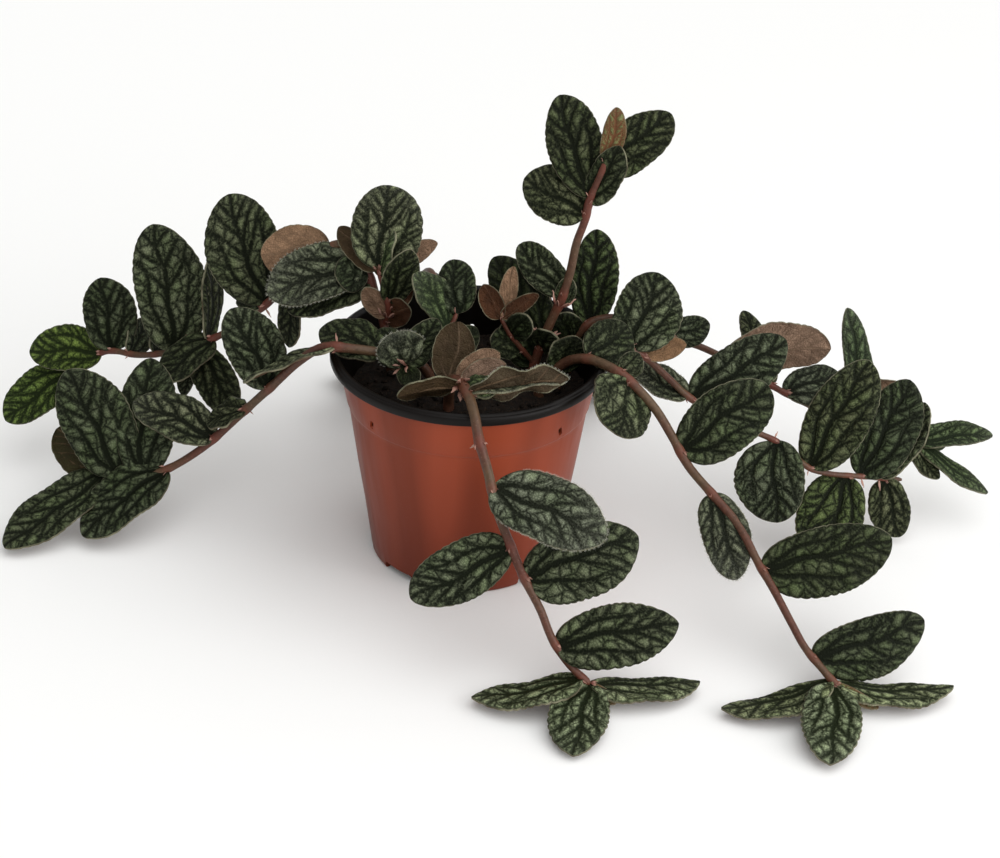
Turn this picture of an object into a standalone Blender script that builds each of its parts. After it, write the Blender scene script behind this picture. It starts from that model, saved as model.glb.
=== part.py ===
"""Trailing watermelon begonia in a nursery pot: pot, soil and one body for each leafy stem.

Lengths in the lists below are millimetres. +Z is up and the front of the plant looks along -Y.
"""
import math

import bmesh
import bpy
from mathutils import Vector

MM = 0.001

# Pot
RIM_RADIUS = 60.0
POT_HEIGHT = 100.0
FOOT_RADIUS = 42.0
POT_SIDES = 40
NOTCH_COUNT = 8
NOTCH_HEIGHT = 4.0
NOTCH_HALF_WIDTH = 8.5
NOTCH_FIRST = 2.0
SLOT_ANGLES = (-47.5, 47.5, 180.0)
SLOT_SIZE = (2.0, 4.0)
SLOT_HEIGHT = 80.5

# Soil
SOIL_TOP = 79.5
SOIL_GAP = 0.3
HOLE_BOTTOM = 69.5
HOLE_CLEARANCE = 0.7

# Stems
RING_SPACING = 12.0

# Leaves
BLADE = 0.8
TOOTH = 0.045
FOLD = 0.08
ARCH = 0.02
PETIOLE = 1.0
SKEW = 0.12
FULLNESS = 2.3
TIP_POINT = 0.57
LONG_LEAF = 34.0

# Directions in which the upper side of a leaf looks
FRONT = (0, -9, 5)
HIGH = (0, -5, 8)
FLAT = (0, -1, 9)
BACK = (0, 9, -4)
BACK_HIGH = (0, 9, 3)
REAR = (0, 4, 9)

# Side of the pot, outside from the middle of the base up to the lip, then down the inside
POT_PROFILE = [
    (0.0, 0.0),
    (40.8, 0.0),
    (FOOT_RADIUS, 1.4),
    (52.2, 75.4),
    (53.0, 76.6),
    (56.9, 97.0),
    (57.6, 98.5),
    (58.4, 98.5),
    (58.9, 97.6),
    (58.9, 95.2),
    (RIM_RADIUS, 95.2),
    (RIM_RADIUS, 98.3),
    (59.2, 99.6),
    (57.9, POT_HEIGHT),
    (56.5, 99.5),
    (55.8, 98.0),
    (51.8, 76.9),
    (51.1, 75.4),
    (41.2, 2.8),
    (39.8, 1.4),
    (0.0, 1.4),
]


def leaf(at, tip, width, face=FRONT, skew=SKEW, arch=ARCH):
    """One leaf: distance along its stem, tip seen from its root, width, direction of its upper
    side, how much wider its left half is than its right half, and how far it arches upwards,
    both as shares of its size."""
    return at, tip, width, face, skew, arch


# Each stem has a route, from the bottom of its hole to its tip, and a list of leaves.
LEFT_FRONT_ROUTE = [
    (-15, -6, 70), (-15, -6, 76), (-15, -6, 83), (-21, -8, 95), (-36, -11, 101), (-50, -13, 104),
    (-62, -11, 103), (-73, -6, 93), (-85, -1, 78), (-100, 4, 60), (-117, 5, 42), (-135, 5, 29),
    (-151, 6, 24), (-166, 12, 22),
]
LEFT_FRONT_LEAVES = [
    leaf(36, (-13, 8, 6), 15),
    leaf(44, (-28, 12, 4), 21, (0, -4, 9)),
    leaf(64, (-41, 4, -21), 24, (-4, 3, 9)),
    leaf(108, (-18, 14, 31), 25, (2, -8, 4)),
    leaf(126, (-18, 2, -9), 20, (-4, -1, 9)),
    leaf(148, (-38, 12, 10), 22, HIGH),
    leaf(176, (-36, -22, -23), 28, (-2, -5, 9)),
    leaf(190, (4, 26, 47), 27),
    leaf(200, (-23, 15, 46), 32),
    leaf(204, (-27, 15, 14), 24, BACK),
    leaf(206, (-41, -36, -18), 25, (-2, -5, 9)),
]
INNER_LEFT_ROUTE = [(-17, -5, 87), (-13, -2, 97), (-9, 2, 106), (-6, 5, 113)]
INNER_LEFT_LEAVES = [
    leaf(23, (-16, 6, 23), 18, (7, -6, 3)),
    leaf(30, (-2, 14, 19), 17),
    leaf(9, (17, 8, 11), 14),
]
INNER_FRONT_ROUTE = [(-21, -8, 95), (-24, -12, 97), (-27, -16, 98)]
INNER_FRONT_LEAVES = [
    leaf(10, (13, 8, 19), 14),
    leaf(13, (-6, 3, 14), 21),
    leaf(13, (5, -9, -4), 10, HIGH),
]

LEFT_BACK_ROUTE = [
    (-35, 15, 70), (-35, 15, 76), (-35, 15, 83), (-38, 20, 98), (-42, 25, 110), (-47, 30, 122),
    (-54, 33, 129), (-62, 36, 128), (-74, 38, 115), (-91, 40, 97), (-104, 42, 85), (-119, 45, 74),
    (-136, 50, 65), (-153, 56, 59), (-170, 62, 57), (-188, 66, 44),
]
LEFT_BACK_LEAVES = [
    leaf(50, (-37, -1, -16), 22, HIGH),
    leaf(58, (-42, -6, -14), 26, (2, -6, 7)),
    leaf(62, (-3, -12, -12), 15, (3, -7, 6)),
    leaf(77, (-31, 2, -6), 24, BACK),
    leaf(80, (-13, -6, -14), 18, BACK),
    leaf(99, (-4, -6, -33), 15, (-5, -6, 4)),
    leaf(120, (-18, 18, 45), 34, FRONT, 0.0),
    leaf(122, (-13, 12, -2), 13, HIGH),
    leaf(153, (-23, -15, -15), 19, (-3, -6, 8)),
    leaf(156, (-1, 25, 31), 16, (9, -4, 2)),
    leaf(163, (19, -16, -27), 19),
    leaf(166, (-3, -9, -21), 9),
    leaf(175, (-10, 17, 56), 33),
    leaf(186, (1, 16, 8), 14, (8, -4, 4)),
    leaf(200, (6, 18, 9), 15, (8, -4, 4)),
    leaf(209, (-6, 14, 31), 25),
    leaf(215, (-35, 4, -3), 22, (0, -8, 6)),
    leaf(236, (-30, -13, -21), 22, (0, -7, 7)),
]
INNER_BACK_ROUTE = [(-38, 20, 98), (-36, 18, 107), (-38, 19, 115), (-41, 24, 124)]
INNER_BACK_LEAVES = [
    leaf(6, (-10, -3, 15), 10, BACK),
    leaf(3, (11, -6, 10), 13, BACK),
    leaf(10, (9, 7, 9), 13, BACK),
    leaf(13, (10, 4, 24), 15, (3, -8, 4)),
    leaf(25, (2, 14, 21), 14, (-7, -6, 3)),
    leaf(28, (4, 16, 33), 31),
    leaf(28, (-18, 12, 14), 12, BACK),
    leaf(28, (25, 14, 7), 10, BACK),
]

FRONT_ROUTE = [
    (-8, -18, 70), (-8, -18, 76), (-8, -18, 84), (-7, -27, 98), (-3, -39, 104), (1, -53, 106),
    (4, -65, 103), (6, -73, 97), (10, -79, 86), (14, -86, 73), (20, -91, 59), (26, -98, 48),
    (33, -104, 37), (38, -108, 26), (45, -111, 16), (54, -114, 8),
]
FRONT_LEAVES = [
    leaf(29, (3, 13, 22), 18, BACK),
    leaf(42, (17, 11, 8), 12, BACK),
    leaf(48, (18, 8, 6), 10, BACK),
    leaf(50, (-27, -5, -3), 15, (0, 9, 5)),
    leaf(54, (17, 7, 1), 15, FLAT),
    leaf(58, (40, 9, 2), 16, (0, 2, 9)),
    leaf(59, (41, 4, 7), 16, BACK_HIGH),
    leaf(103, (46, -21, -9), 29, (1, -6, 8), -0.05),
    leaf(128, (-40, -12, -19), 24),
    leaf(142, (46, 14, 13), 31, FRONT, 0.16),
    leaf(172, (50, 5, 9), 26),
    leaf(190, (-45, -8, -6), 21, (0, 1, 9), -0.2, -0.03),
    leaf(194, (-7, -40, -5), 24, FLAT),
    leaf(194, (46, 8, -3), 20, (0, 1, 9), 0.35, -0.04),
    leaf(194, (11, -7, -4), 6, HIGH),
]

RIGHT_FRONT_ROUTE = [
    (31, -3, 70), (31, -3, 76), (31, -3, 83), (40, -6, 96), (49, -13, 103), (60, -22, 104),
    (69, -28, 100), (79, -33, 91), (87, -38, 80), (94, -44, 70), (105, -53, 61), (115, -62, 53),
    (123, -72, 42), (130, -82, 34), (137, -92, 25), (142, -99, 19), (149, -105, 13),
    (156, -110, 7),
]
RIGHT_FRONT_LEAVES = [
    leaf(24, (9, 2, 16), 18, (4, -7, 3)),
    leaf(45, (17, 14, 9), 22),
    leaf(62, (8, 7, 6), 11),
    leaf(67, (-5, -23, -13), 32, (5, -8, 4)),
    leaf(104, (36, 11, 27), 28),
    leaf(126, (11, -24, -27), 20, FRONT, 0.0),
    leaf(164, (54, 8, 12), 29, FRONT, 0.2),
    leaf(206, (47, 15, 10), 25, FRONT, 0.2),
    leaf(218, (-46, -15, -5), 19, (0, 1, 9), -0.35, -0.06),
    leaf(220, (-7, -47, -4), 24, FLAT),
    leaf(220, (50, 5, -3), 19, (0, 1, 9), 0.35, -0.06),
    leaf(220, (17, -10, -4), 6, HIGH),
]

RIGHT_MIDDLE_ROUTE = [
    (39, 4, 70), (39, 4, 76), (39, 4, 83), (46, 4, 97), (55, 1, 103), (65, -1, 103), (75, 0, 98),
    (86, 2, 87), (98, 4, 75), (117, 2, 65), (137, 2, 56), (151, 2, 44), (161, 5, 39),
    (175, 10, 35), (197, 18, 29),
]
RIGHT_MIDDLE_LEAVES = [
    leaf(54, (12, 20, 27), 29),
    leaf(61, (19, 4, 4), 10, BACK),
    leaf(92, (-26, 4, 11), 15, HIGH),
    leaf(94, (41, 15, 23), 25, FRONT, 0.05),
    leaf(136, (2, -24, -28), 31),
    leaf(158, (23, 14, 48), 28),
    leaf(179, (-13, -26, -31), 30),
    leaf(186, (21, 23, 38), 27),
    leaf(196, (21, 23, 27), 18, (-6, -6, 4)),
    leaf(199, (9, -7, -27), 19),
]

RIGHT_BACK_ROUTE = [
    (43, 19, 70), (43, 19, 76), (43, 19, 84), (47, 19, 97), (54, 20, 104), (66, 21, 105),
    (78, 24, 100), (90, 27, 93), (103, 30, 87), (118, 31, 79), (137, 32, 67), (149, 33, 60),
    (163, 34, 53), (179, 36, 45), (193, 38, 39), (209, 42, 34),
]
RIGHT_BACK_LEAVES = [
    leaf(34, (3, 20, 37), 21),
    leaf(22, (-7, -3, 17), 15),
    leaf(74, (19, 8, 2), 14),
    leaf(104, (48, 6, 4), 28, (0, 9, 2)),
    leaf(130, (-13, 24, 25), 14, (3, -6, 5)),
    leaf(138, (26, 15, 3), 20, HIGH),
    leaf(154, (41, 10, 7), 16, (0, 9, 2)),
    leaf(184, (-13, 22, 52), 14, (2, -9, 4)),
    leaf(206, (14, -9, -14), 10, (0, -4, 8)),
    leaf(208, (37, 4, 3), 13, HIGH, -0.3),
    leaf(210, (33, -13, -18), 10, (0, -3, 9)),
    leaf(210, (15, 4, -1), 8),
]

UPRIGHT_ROUTE = [
    (27, 9, 70), (27, 9, 76), (27, 9, 83), (31, 10, 97), (35, 12, 108), (39, 13, 118),
    (42, 14, 130), (44, 15, 143), (47, 16, 153), (49, 17, 163), (53, 18, 174), (55, 19, 180),
]
UPRIGHT_LEAVES = [
    leaf(30, (-23, 20, 29), 22),
    leaf(25, (5, -9, 13), 14),
    leaf(17, (-14, -3, 22), 17),
    leaf(47, (4, 1, 13), 9),
    leaf(52, (-20, 9, 19), 16),
    leaf(90, (-27, 8, 12), 24),
    leaf(95, (12, 1, 26), 15, (-4, -8, 2)),
    leaf(98, (-15, 21, 37), 24),
    leaf(111, (28, 12, 21), 21),
    leaf(114, (4, 10, 21), 10),
]
INNER_RIGHT_ROUTE = [(28, 9, 88), (23, 7, 95), (17, 5, 104), (13, 4, 112)]
INNER_RIGHT_LEAVES = [
    leaf(9, (-14, -4, 8), 15),
    leaf(18, (6, -6, 14), 12),
    leaf(30, (-8, 4, 14), 10, BACK),
    leaf(30, (5, 12, 19), 8, BACK),
    leaf(30, (16, 4, 10), 7, BACK),
]

BEHIND_LEFT_ROUTE = [
    (-12, 35, 70), (-12, 35, 76), (-12, 35, 84), (-14, 42, 98), (-17, 51, 104), (-20, 62, 104),
    (-24, 72, 96), (-28, 82, 81), (-31, 93, 63), (-34, 103, 45), (-38, 112, 28), (-42, 121, 14),
    (-47, 130, 7),
]
BEHIND_LEFT_LEAVES = [
    leaf(44, (-24, 16, -6), 22, REAR),
    leaf(70, (18, 24, -10), 22, REAR),
    leaf(88, (-34, 18, -8), 26, REAR),
    leaf(110, (22, 26, -16), 24, REAR),
    leaf(132, (-34, 18, -14), 25, REAR),
    leaf(152, (26, 22, -12), 23, REAR),
    leaf(166, (-28, 22, -3), 20, FLAT),
    leaf(168, (2, 40, -3), 24, FLAT),
    leaf(168, (34, 16, -3), 22, FLAT),
]
BEHIND_RIGHT_ROUTE = [
    (18, 37, 70), (18, 37, 76), (18, 37, 84), (21, 43, 98), (24, 52, 104), (28, 63, 104),
    (31, 73, 96), (35, 84, 80), (38, 95, 61), (41, 104, 44), (45, 113, 27), (49, 121, 14),
    (54, 129, 7),
]
BEHIND_RIGHT_LEAVES = [
    leaf(44, (22, 16, -6), 22, REAR),
    leaf(75, (-16, 24, -8), 20, REAR),
    leaf(96, (28, 18, -12), 25, REAR),
    leaf(118, (-20, 26, -16), 22, REAR),
    leaf(138, (28, 20, -14), 24, REAR),
    leaf(158, (-20, 26, -10), 22, REAR),
    leaf(169, (28, 22, -3), 20, FLAT),
    leaf(171, (4, 38, -3), 23, FLAT),
]

# Name, then the branches of the body: route, thickness at the root and at the end, leaves
STEMS = [
    ("stem_left_front", [
        (LEFT_FRONT_ROUTE, 5.0, 3.6, LEFT_FRONT_LEAVES),
        (INNER_LEFT_ROUTE, 2.6, 2.0, INNER_LEFT_LEAVES),
        (INNER_FRONT_ROUTE, 2.6, 2.0, INNER_FRONT_LEAVES),
    ]),
    ("stem_left_back", [
        (LEFT_BACK_ROUTE, 4.6, 2.8, LEFT_BACK_LEAVES),
        (INNER_BACK_ROUTE, 2.8, 2.0, INNER_BACK_LEAVES),
    ]),
    ("stem_front", [(FRONT_ROUTE, 5.4, 3.4, FRONT_LEAVES)]),
    ("stem_right_front", [(RIGHT_FRONT_ROUTE, 5.0, 3.4, RIGHT_FRONT_LEAVES)]),
    ("stem_right_middle", [(RIGHT_MIDDLE_ROUTE, 4.0, 2.4, RIGHT_MIDDLE_LEAVES)]),
    ("stem_right_back", [(RIGHT_BACK_ROUTE, 4.4, 2.4, RIGHT_BACK_LEAVES)]),
    ("stem_upright", [
        (UPRIGHT_ROUTE, 5.0, 3.4, UPRIGHT_LEAVES),
        (INNER_RIGHT_ROUTE, 2.8, 2.0, INNER_RIGHT_LEAVES),
    ]),
    ("stem_behind_left", [(BEHIND_LEFT_ROUTE, 4.6, 3.0, BEHIND_LEFT_LEAVES)]),
    ("stem_behind_right", [(BEHIND_RIGHT_ROUTE, 4.6, 3.0, BEHIND_RIGHT_LEAVES)]),
]


def clear_scene():
    """Remove every object that the new file starts with."""
    for thing in list(bpy.data.objects):
        bpy.data.objects.remove(thing)


def make_material(name, colour, roughness):
    """A plain material with one colour."""
    material = bpy.data.materials.new(name)
    material.use_nodes = True
    shader = material.node_tree.nodes["Principled BSDF"]
    shader.inputs["Base Color"].default_value = (*colour, 1.0)
    shader.inputs["Roughness"].default_value = roughness
    material.diffuse_color = (*colour, 1.0)
    return material


def add_object(name, bm):
    """Turn a bmesh given in millimetres into a named object in metres."""
    bmesh.ops.scale(bm, vec=(MM, MM, MM), verts=bm.verts)
    bmesh.ops.recalc_face_normals(bm, faces=bm.faces)
    mesh = bpy.data.meshes.new(name)
    bm.to_mesh(mesh)
    bm.free()
    thing = bpy.data.objects.new(name, mesh)
    bpy.context.scene.collection.objects.link(thing)
    return thing


def combine(base, others, operation, solver):
    """Fuse the other objects to the base, or cut them from it, and remove them."""
    group = bpy.data.collections.new("group")
    bpy.context.scene.collection.children.link(group)
    for other in others:
        bpy.context.scene.collection.objects.unlink(other)
        group.objects.link(other)
        other.hide_render = True
        other.display_type = "WIRE"
    modifier = base.modifiers.new("combine", "BOOLEAN")
    modifier.operation = operation
    modifier.solver = solver
    modifier.operand_type = "COLLECTION"
    modifier.collection = group
    bpy.context.view_layer.objects.active = base
    bpy.ops.object.modifier_apply(modifier=modifier.name)
    for other in list(group.objects):
        bpy.data.objects.remove(other)
    bpy.data.collections.remove(group)


def revolve(bm, profile, sides):
    """A closed ring of faces from a profile whose first and last points are on the axis."""
    rings = []
    for radius, height in profile:
        if radius == 0.0:
            rings.append([bm.verts.new((0.0, 0.0, height))])
            continue
        ring = []
        for step in range(sides):
            angle = 2.0 * math.pi * step / sides
            ring.append(bm.verts.new((radius * math.sin(angle), -radius * math.cos(angle), height)))
        rings.append(ring)
    for low, high in zip(rings, rings[1:]):
        for step in range(sides):
            after = (step + 1) % sides
            if len(low) == 1:
                bm.faces.new((low[0], high[after], high[step]))
            elif len(high) == 1:
                bm.faces.new((low[step], low[after], high[0]))
            else:
                bm.faces.new((low[step], low[after], high[after], high[step]))


def add_box(bm, centre, half, angle):
    """A box turned about the upright axis, its y side pointing away from the axis of the pot."""
    corners = []
    for x in (-half[0], half[0]):
        for y in (-half[1], half[1]):
            for z in (-half[2], half[2]):
                corner = Vector((centre[0] + x, centre[1] + y, centre[2] + z))
                turned = Vector((
                    corner.x * math.cos(angle) - corner.y * math.sin(angle),
                    corner.x * math.sin(angle) + corner.y * math.cos(angle),
                    corner.z,
                ))
                corners.append(bm.verts.new(turned))
    for face in ((0, 1, 3, 2), (4, 6, 7, 5), (0, 4, 5, 1), (2, 3, 7, 6), (0, 2, 6, 4), (1, 5, 7, 3)):
        bm.faces.new([corners[i] for i in face])


def make_pot():
    """The pot with its rolled lip, its drain notches and its slots."""
    bm = bmesh.new()
    revolve(bm, POT_PROFILE, POT_SIDES)
    pot = add_object("pot", bm)
    bm = bmesh.new()
    for number in range(NOTCH_COUNT):
        angle = math.radians(NOTCH_FIRST + 360.0 * number / NOTCH_COUNT)
        middle = (0.0, -42.0, NOTCH_HEIGHT - 6.0)
        add_box(bm, middle, (NOTCH_HALF_WIDTH, 7.0, 6.0), angle)
    for slot in SLOT_ANGLES:
        size = (SLOT_SIZE[0] / 2.0, 4.0, SLOT_SIZE[1] / 2.0)
        add_box(bm, (0.0, -53.0, SLOT_HEIGHT), size, math.radians(slot))
    cutter = add_object("cutter", bm)
    combine(pot, [cutter], "DIFFERENCE", "EXACT")
    pot.data.materials.clear()
    pot.data.materials.append(make_material("terracotta_plastic", (0.36, 0.09, 0.05), 0.45))
    shade(pot, 40.0)


def make_soil():
    """Potting soil with a slightly uneven top and a plain hole for each stem."""
    bm = bmesh.new()
    profile = [
        (0.0, 1.4 + SOIL_GAP),
        (39.2, 1.4 + SOIL_GAP),
        (40.8, 2.8 + SOIL_GAP),
        (49.9, 70.0),
        (50.7, 75.6),
        (51.4, 77.0),
        (51.7, SOIL_TOP - 1.0),
        (42.0, SOIL_TOP + 0.4),
        (22.0, SOIL_TOP - 0.2),
        (0.0, SOIL_TOP + 0.5),
    ]
    revolve(bm, profile, POT_SIDES)
    for vert in bm.verts:
        radius = math.hypot(vert.co.x, vert.co.y)
        if vert.co.z > SOIL_TOP - 0.9 and radius > 0.0:
            turn = math.atan2(vert.co.y, vert.co.x)
            vert.co.z += 0.7 * math.sin(5.0 * turn + 0.3 * radius) + 0.4 * math.sin(11.0 * turn)
    soil = add_object("soil", bm)
    cutters = []
    for name, branches in STEMS:
        route, thick = branches[0][0], branches[0][1]
        cutters.append(make_hole(name, route[0], thick / 2.0 + HOLE_CLEARANCE))
    combine(soil, cutters, "DIFFERENCE", "EXACT")
    soil.data.materials.clear()
    soil.data.materials.append(make_material("potting_soil", (0.02, 0.015, 0.011), 0.95))
    shade(soil, 40.0)


def make_hole(name, place, radius):
    """An upright cylinder that cuts the hole for one stem."""
    bm = bmesh.new()
    rings = []
    for height in (HOLE_BOTTOM, SOIL_TOP + 10.0):
        ring = []
        for step in range(12):
            angle = 2.0 * math.pi * step / 12
            x = place[0] + radius * math.cos(angle)
            y = place[1] + radius * math.sin(angle)
            ring.append(bm.verts.new((x, y, height)))
        rings.append(ring)
    bm.faces.new(rings[0][::-1])
    bm.faces.new(rings[1])
    for step in range(12):
        after = (step + 1) % 12
        bm.faces.new((rings[0][step], rings[0][after], rings[1][after], rings[1][step]))
    return add_object("hole_" + name, bm)


def smooth_route(route):
    """Points a few millimetres apart on a smooth curve through the route."""
    given = [Vector(point) for point in route]
    ends = [given[0] * 2.0 - given[1]] + given + [given[-1] * 2.0 - given[-2]]
    points = []
    for a, b, c, d in zip(ends, ends[1:], ends[2:], ends[3:]):
        for step in range(8):
            t = step / 8.0
            even = 2.0 * b + (c - a) * t
            square = (2.0 * a - 5.0 * b + 4.0 * c - d) * t * t
            cube = (3.0 * b - a - 3.0 * c + d) * t * t * t
            points.append((even + square + cube) * 0.5)
    points.append(given[-1])
    return points


def place_on(points, distance):
    """The point at a distance along the curve, and the direction of the curve there."""
    left = distance
    for a, b in zip(points, points[1:]):
        length = (b - a).length
        if left <= length:
            return a.lerp(b, left / length), (b - a).normalized()
        left -= length
    return points[-1].copy(), (points[-1] - points[-2]).normalized()


def curve_length(points):
    """Length of the whole curve."""
    return sum((b - a).length for a, b in zip(points, points[1:]))


def make_stem(name, route, thick_root, thick_end):
    """A six-sided stem that follows the route and gets thinner to its end."""
    points = smooth_route(route)
    length = curve_length(points)
    count = max(3, round(length / RING_SPACING))
    bm = bmesh.new()
    rings = []
    side = Vector((1.0, 0.0, 0.0))
    for number in range(count + 1):
        share = number / count
        centre, along = place_on(points, length * share)
        side = (side - along * side.dot(along)).normalized()
        other = along.cross(side)
        radius = (thick_root + (thick_end - thick_root) * share) / 2.0
        ring = []
        for step in range(6):
            angle = 2.0 * math.pi * step / 6
            offset = side * math.cos(angle) + other * math.sin(angle)
            ring.append(bm.verts.new(centre + offset * radius))
        rings.append(ring)
    bm.faces.new(rings[0][::-1])
    bm.faces.new(rings[-1])
    for low, high in zip(rings, rings[1:]):
        for step in range(6):
            after = (step + 1) % 6
            bm.faces.new((low[step], low[after], high[after], high[step]))
    return add_object(name, bm), points


def half_width(share):
    """Half width of a leaf at a share of its length, 1 at the widest place."""
    if share <= 0.0 or share >= 1.0:
        return 0.0
    off = 2.0 * share - 1.0
    if off < 0.0:
        return (1.0 - abs(off) ** FULLNESS) ** (1.0 / FULLNESS)
    return (1.0 - off * off) ** TIP_POINT


def make_leaf(name, root, tip, width, face, skew, arch):
    """One toothed leaf, folded a little at its midrib and arched along its length."""
    length = Vector(tip).length
    along = Vector(tip).normalized()
    up = Vector(face)
    up = (up - along * up.dot(along)).normalized()
    side = along.cross(up)
    count = 10 if length > LONG_LEAF else 6
    bm = bmesh.new()
    layers = []
    for half in (BLADE / 2.0, -BLADE / 2.0):
        ribs = []
        edges = {1: [], -1: []}
        for number in range(count + 1):
            even = number / count
            share = 0.5 * even + 0.25 * (1.0 - math.cos(math.pi * even))
            rise = arch * length * math.sin(math.pi * share)
            middle = root + along * length * share + up * rise
            if number % 2 == 0:
                ribs.append(bm.verts.new(middle + up * half))
            if number == count:
                break
            tooth = 1.0 + (TOOTH if number % 2 else -TOOTH)
            for way in (1, -1):
                lean = 1.0 + way * skew
                out = max(PETIOLE, 0.5 * width * lean * tooth * half_width(share))
                spot = middle + side * (way * out) + up * (half + FOLD * out)
                edges[way].append(bm.verts.new(spot))
        for way in (1, -1):
            edges[way].append(ribs[-1])
        layers.append((ribs, edges))
    for ribs, edges in layers:
        for way in (1, -1):
            edge = edges[way]
            for number in range(count // 2):
                low, high = ribs[number], ribs[number + 1]
                a, b, c = edge[2 * number], edge[2 * number + 1], edge[2 * number + 2]
                bm.faces.new((low, a, b))
                bm.faces.new((low, b, high))
                if c is not high:
                    bm.faces.new((high, b, c))
    for way in (1, -1):
        above = [layers[0][0][0]] + layers[0][1][way]
        below = [layers[1][0][0]] + layers[1][1][way]
        for number in range(len(above) - 1):
            bm.faces.new((above[number], above[number + 1], below[number + 1]))
            bm.faces.new((above[number], below[number + 1], below[number]))
    return add_object(name, bm)


def keep_largest(thing):
    """Keep the largest closed skin of a body, so that hollows are filled and scraps are gone."""
    bm = bmesh.new()
    bm.from_mesh(thing.data)
    flat = math.radians(2.5)
    bmesh.ops.dissolve_limit(bm, angle_limit=flat, verts=bm.verts, edges=bm.edges)
    bmesh.ops.triangulate(bm, faces=bm.faces)
    waiting = set(bm.faces)
    skins = []
    while waiting:
        first = waiting.pop()
        skin = [first]
        front = [first]
        while front:
            face = front.pop()
            for edge in face.edges:
                for other in edge.link_faces:
                    if other in waiting:
                        waiting.remove(other)
                        skin.append(other)
                        front.append(other)
        skins.append(skin)
    skins.sort(key=volume_of, reverse=True)
    spare = [face for skin in skins[1:] for face in skin]
    if spare:
        bmesh.ops.delete(bm, geom=spare, context="FACES")
    bm.to_mesh(thing.data)
    bm.free()


def volume_of(skin):
    """Signed volume inside a skin of triangles."""
    total = 0.0
    for face in skin:
        a, b, c = (vert.co for vert in face.verts)
        total += a.dot(b.cross(c)) / 6.0
    return total


def shade(thing, angle):
    """Shade a body smooth, but keep edges sharper than the angle."""
    for polygon in thing.data.polygons:
        polygon.use_smooth = True
    bm = bmesh.new()
    bm.from_mesh(thing.data)
    for edge in bm.edges:
        edge.smooth = len(edge.link_faces) == 2 and edge.calc_face_angle(0.0) < math.radians(angle)
    bm.to_mesh(thing.data)
    bm.free()


def make_leafy_stem(name, branches):
    """One body: a stem with its side shoots and all their leaves."""
    parts = []
    for route, thick_root, thick_end, leaves in branches:
        stem, points = make_stem(name, route, thick_root, thick_end)
        parts.append(stem)
        for at, tip, width, face, skew, arch in leaves:
            root, along = place_on(points, at)
            parts.append(make_leaf("leaf", root, tip, width, face, skew, arch))
    body = parts[0]
    combine(body, parts[1:], "UNION", "MANIFOLD")
    keep_largest(body)
    body.name = name
    body.data.materials.clear()
    body.data.materials.append(make_material(name + "_leaf_and_stem", (0.035, 0.06, 0.03), 0.55))
    shade(body, 30.0)


def main():
    """Build every body."""
    clear_scene()
    make_pot()
    make_soil()
    for name, branches in STEMS:
        make_leafy_stem(name, branches)


main()
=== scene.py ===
"""Looks of a trailing watermelon begonia in a nursery pot.

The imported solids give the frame. This script replaces them with finer pieces that keep their form:
toothed, quilted leaves with their veins, swollen stems with stipules, buds, rootlets and hairs, a
pot with a rolled black lip, and crumbly soil. Lengths in the lists and fields are millimetres,
and the meshes are in metres. +Z is up and the front of the plant looks along -Y.
"""
import logging
import math
import random
from collections.abc import Callable, Iterable, Iterator
from contextlib import contextmanager
from dataclasses import dataclass, field
from enum import Enum

import bpy
import numpy as np
from mathutils import Matrix, Vector, kdtree, noise


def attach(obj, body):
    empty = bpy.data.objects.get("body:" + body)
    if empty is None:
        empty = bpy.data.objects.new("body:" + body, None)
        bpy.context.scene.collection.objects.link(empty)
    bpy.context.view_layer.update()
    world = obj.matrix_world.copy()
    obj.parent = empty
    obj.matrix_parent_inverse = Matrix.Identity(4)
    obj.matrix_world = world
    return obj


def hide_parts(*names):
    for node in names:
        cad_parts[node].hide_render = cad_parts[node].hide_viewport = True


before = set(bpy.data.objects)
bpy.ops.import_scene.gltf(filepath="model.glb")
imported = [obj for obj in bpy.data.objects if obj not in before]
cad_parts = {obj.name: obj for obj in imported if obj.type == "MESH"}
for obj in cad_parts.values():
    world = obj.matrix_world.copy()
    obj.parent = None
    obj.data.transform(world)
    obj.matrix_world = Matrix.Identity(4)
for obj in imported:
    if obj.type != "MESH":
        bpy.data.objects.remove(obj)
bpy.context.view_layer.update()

log = logging.getLogger("trailing_begonia")

MM = 0.001
TURN = 2.0 * math.pi

Place = tuple[float, float, float]
Material = bpy.types.Material
Mesh = bpy.types.Mesh
Object = bpy.types.Object

# Directions in which the upper side of a leaf looks
FRONT: Place = (0, -9, 5)
HIGH: Place = (0, -5, 8)
FLAT: Place = (0, -1, 9)
BACK: Place = (0, 9, -4)
BACK_HIGH: Place = (0, 9, 3)
REAR: Place = (0, 4, 9)


def linear(hex_colour: str) -> tuple[float, ...]:
    """Turn an sRGB hex colour into linear RGB with full alpha.

    Args:
        hex_colour: six hex digits after a hash.

    Returns:
        Red, green, blue and alpha for a shader socket.
    """
    parts = [int(hex_colour[start:start + 2], 16) / 255.0 for start in (1, 3, 5)]
    return (*(part / 12.92 if part <= 0.04045 else ((part + 0.055) / 1.055) ** 2.4
              for part in parts), 1.0)


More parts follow.
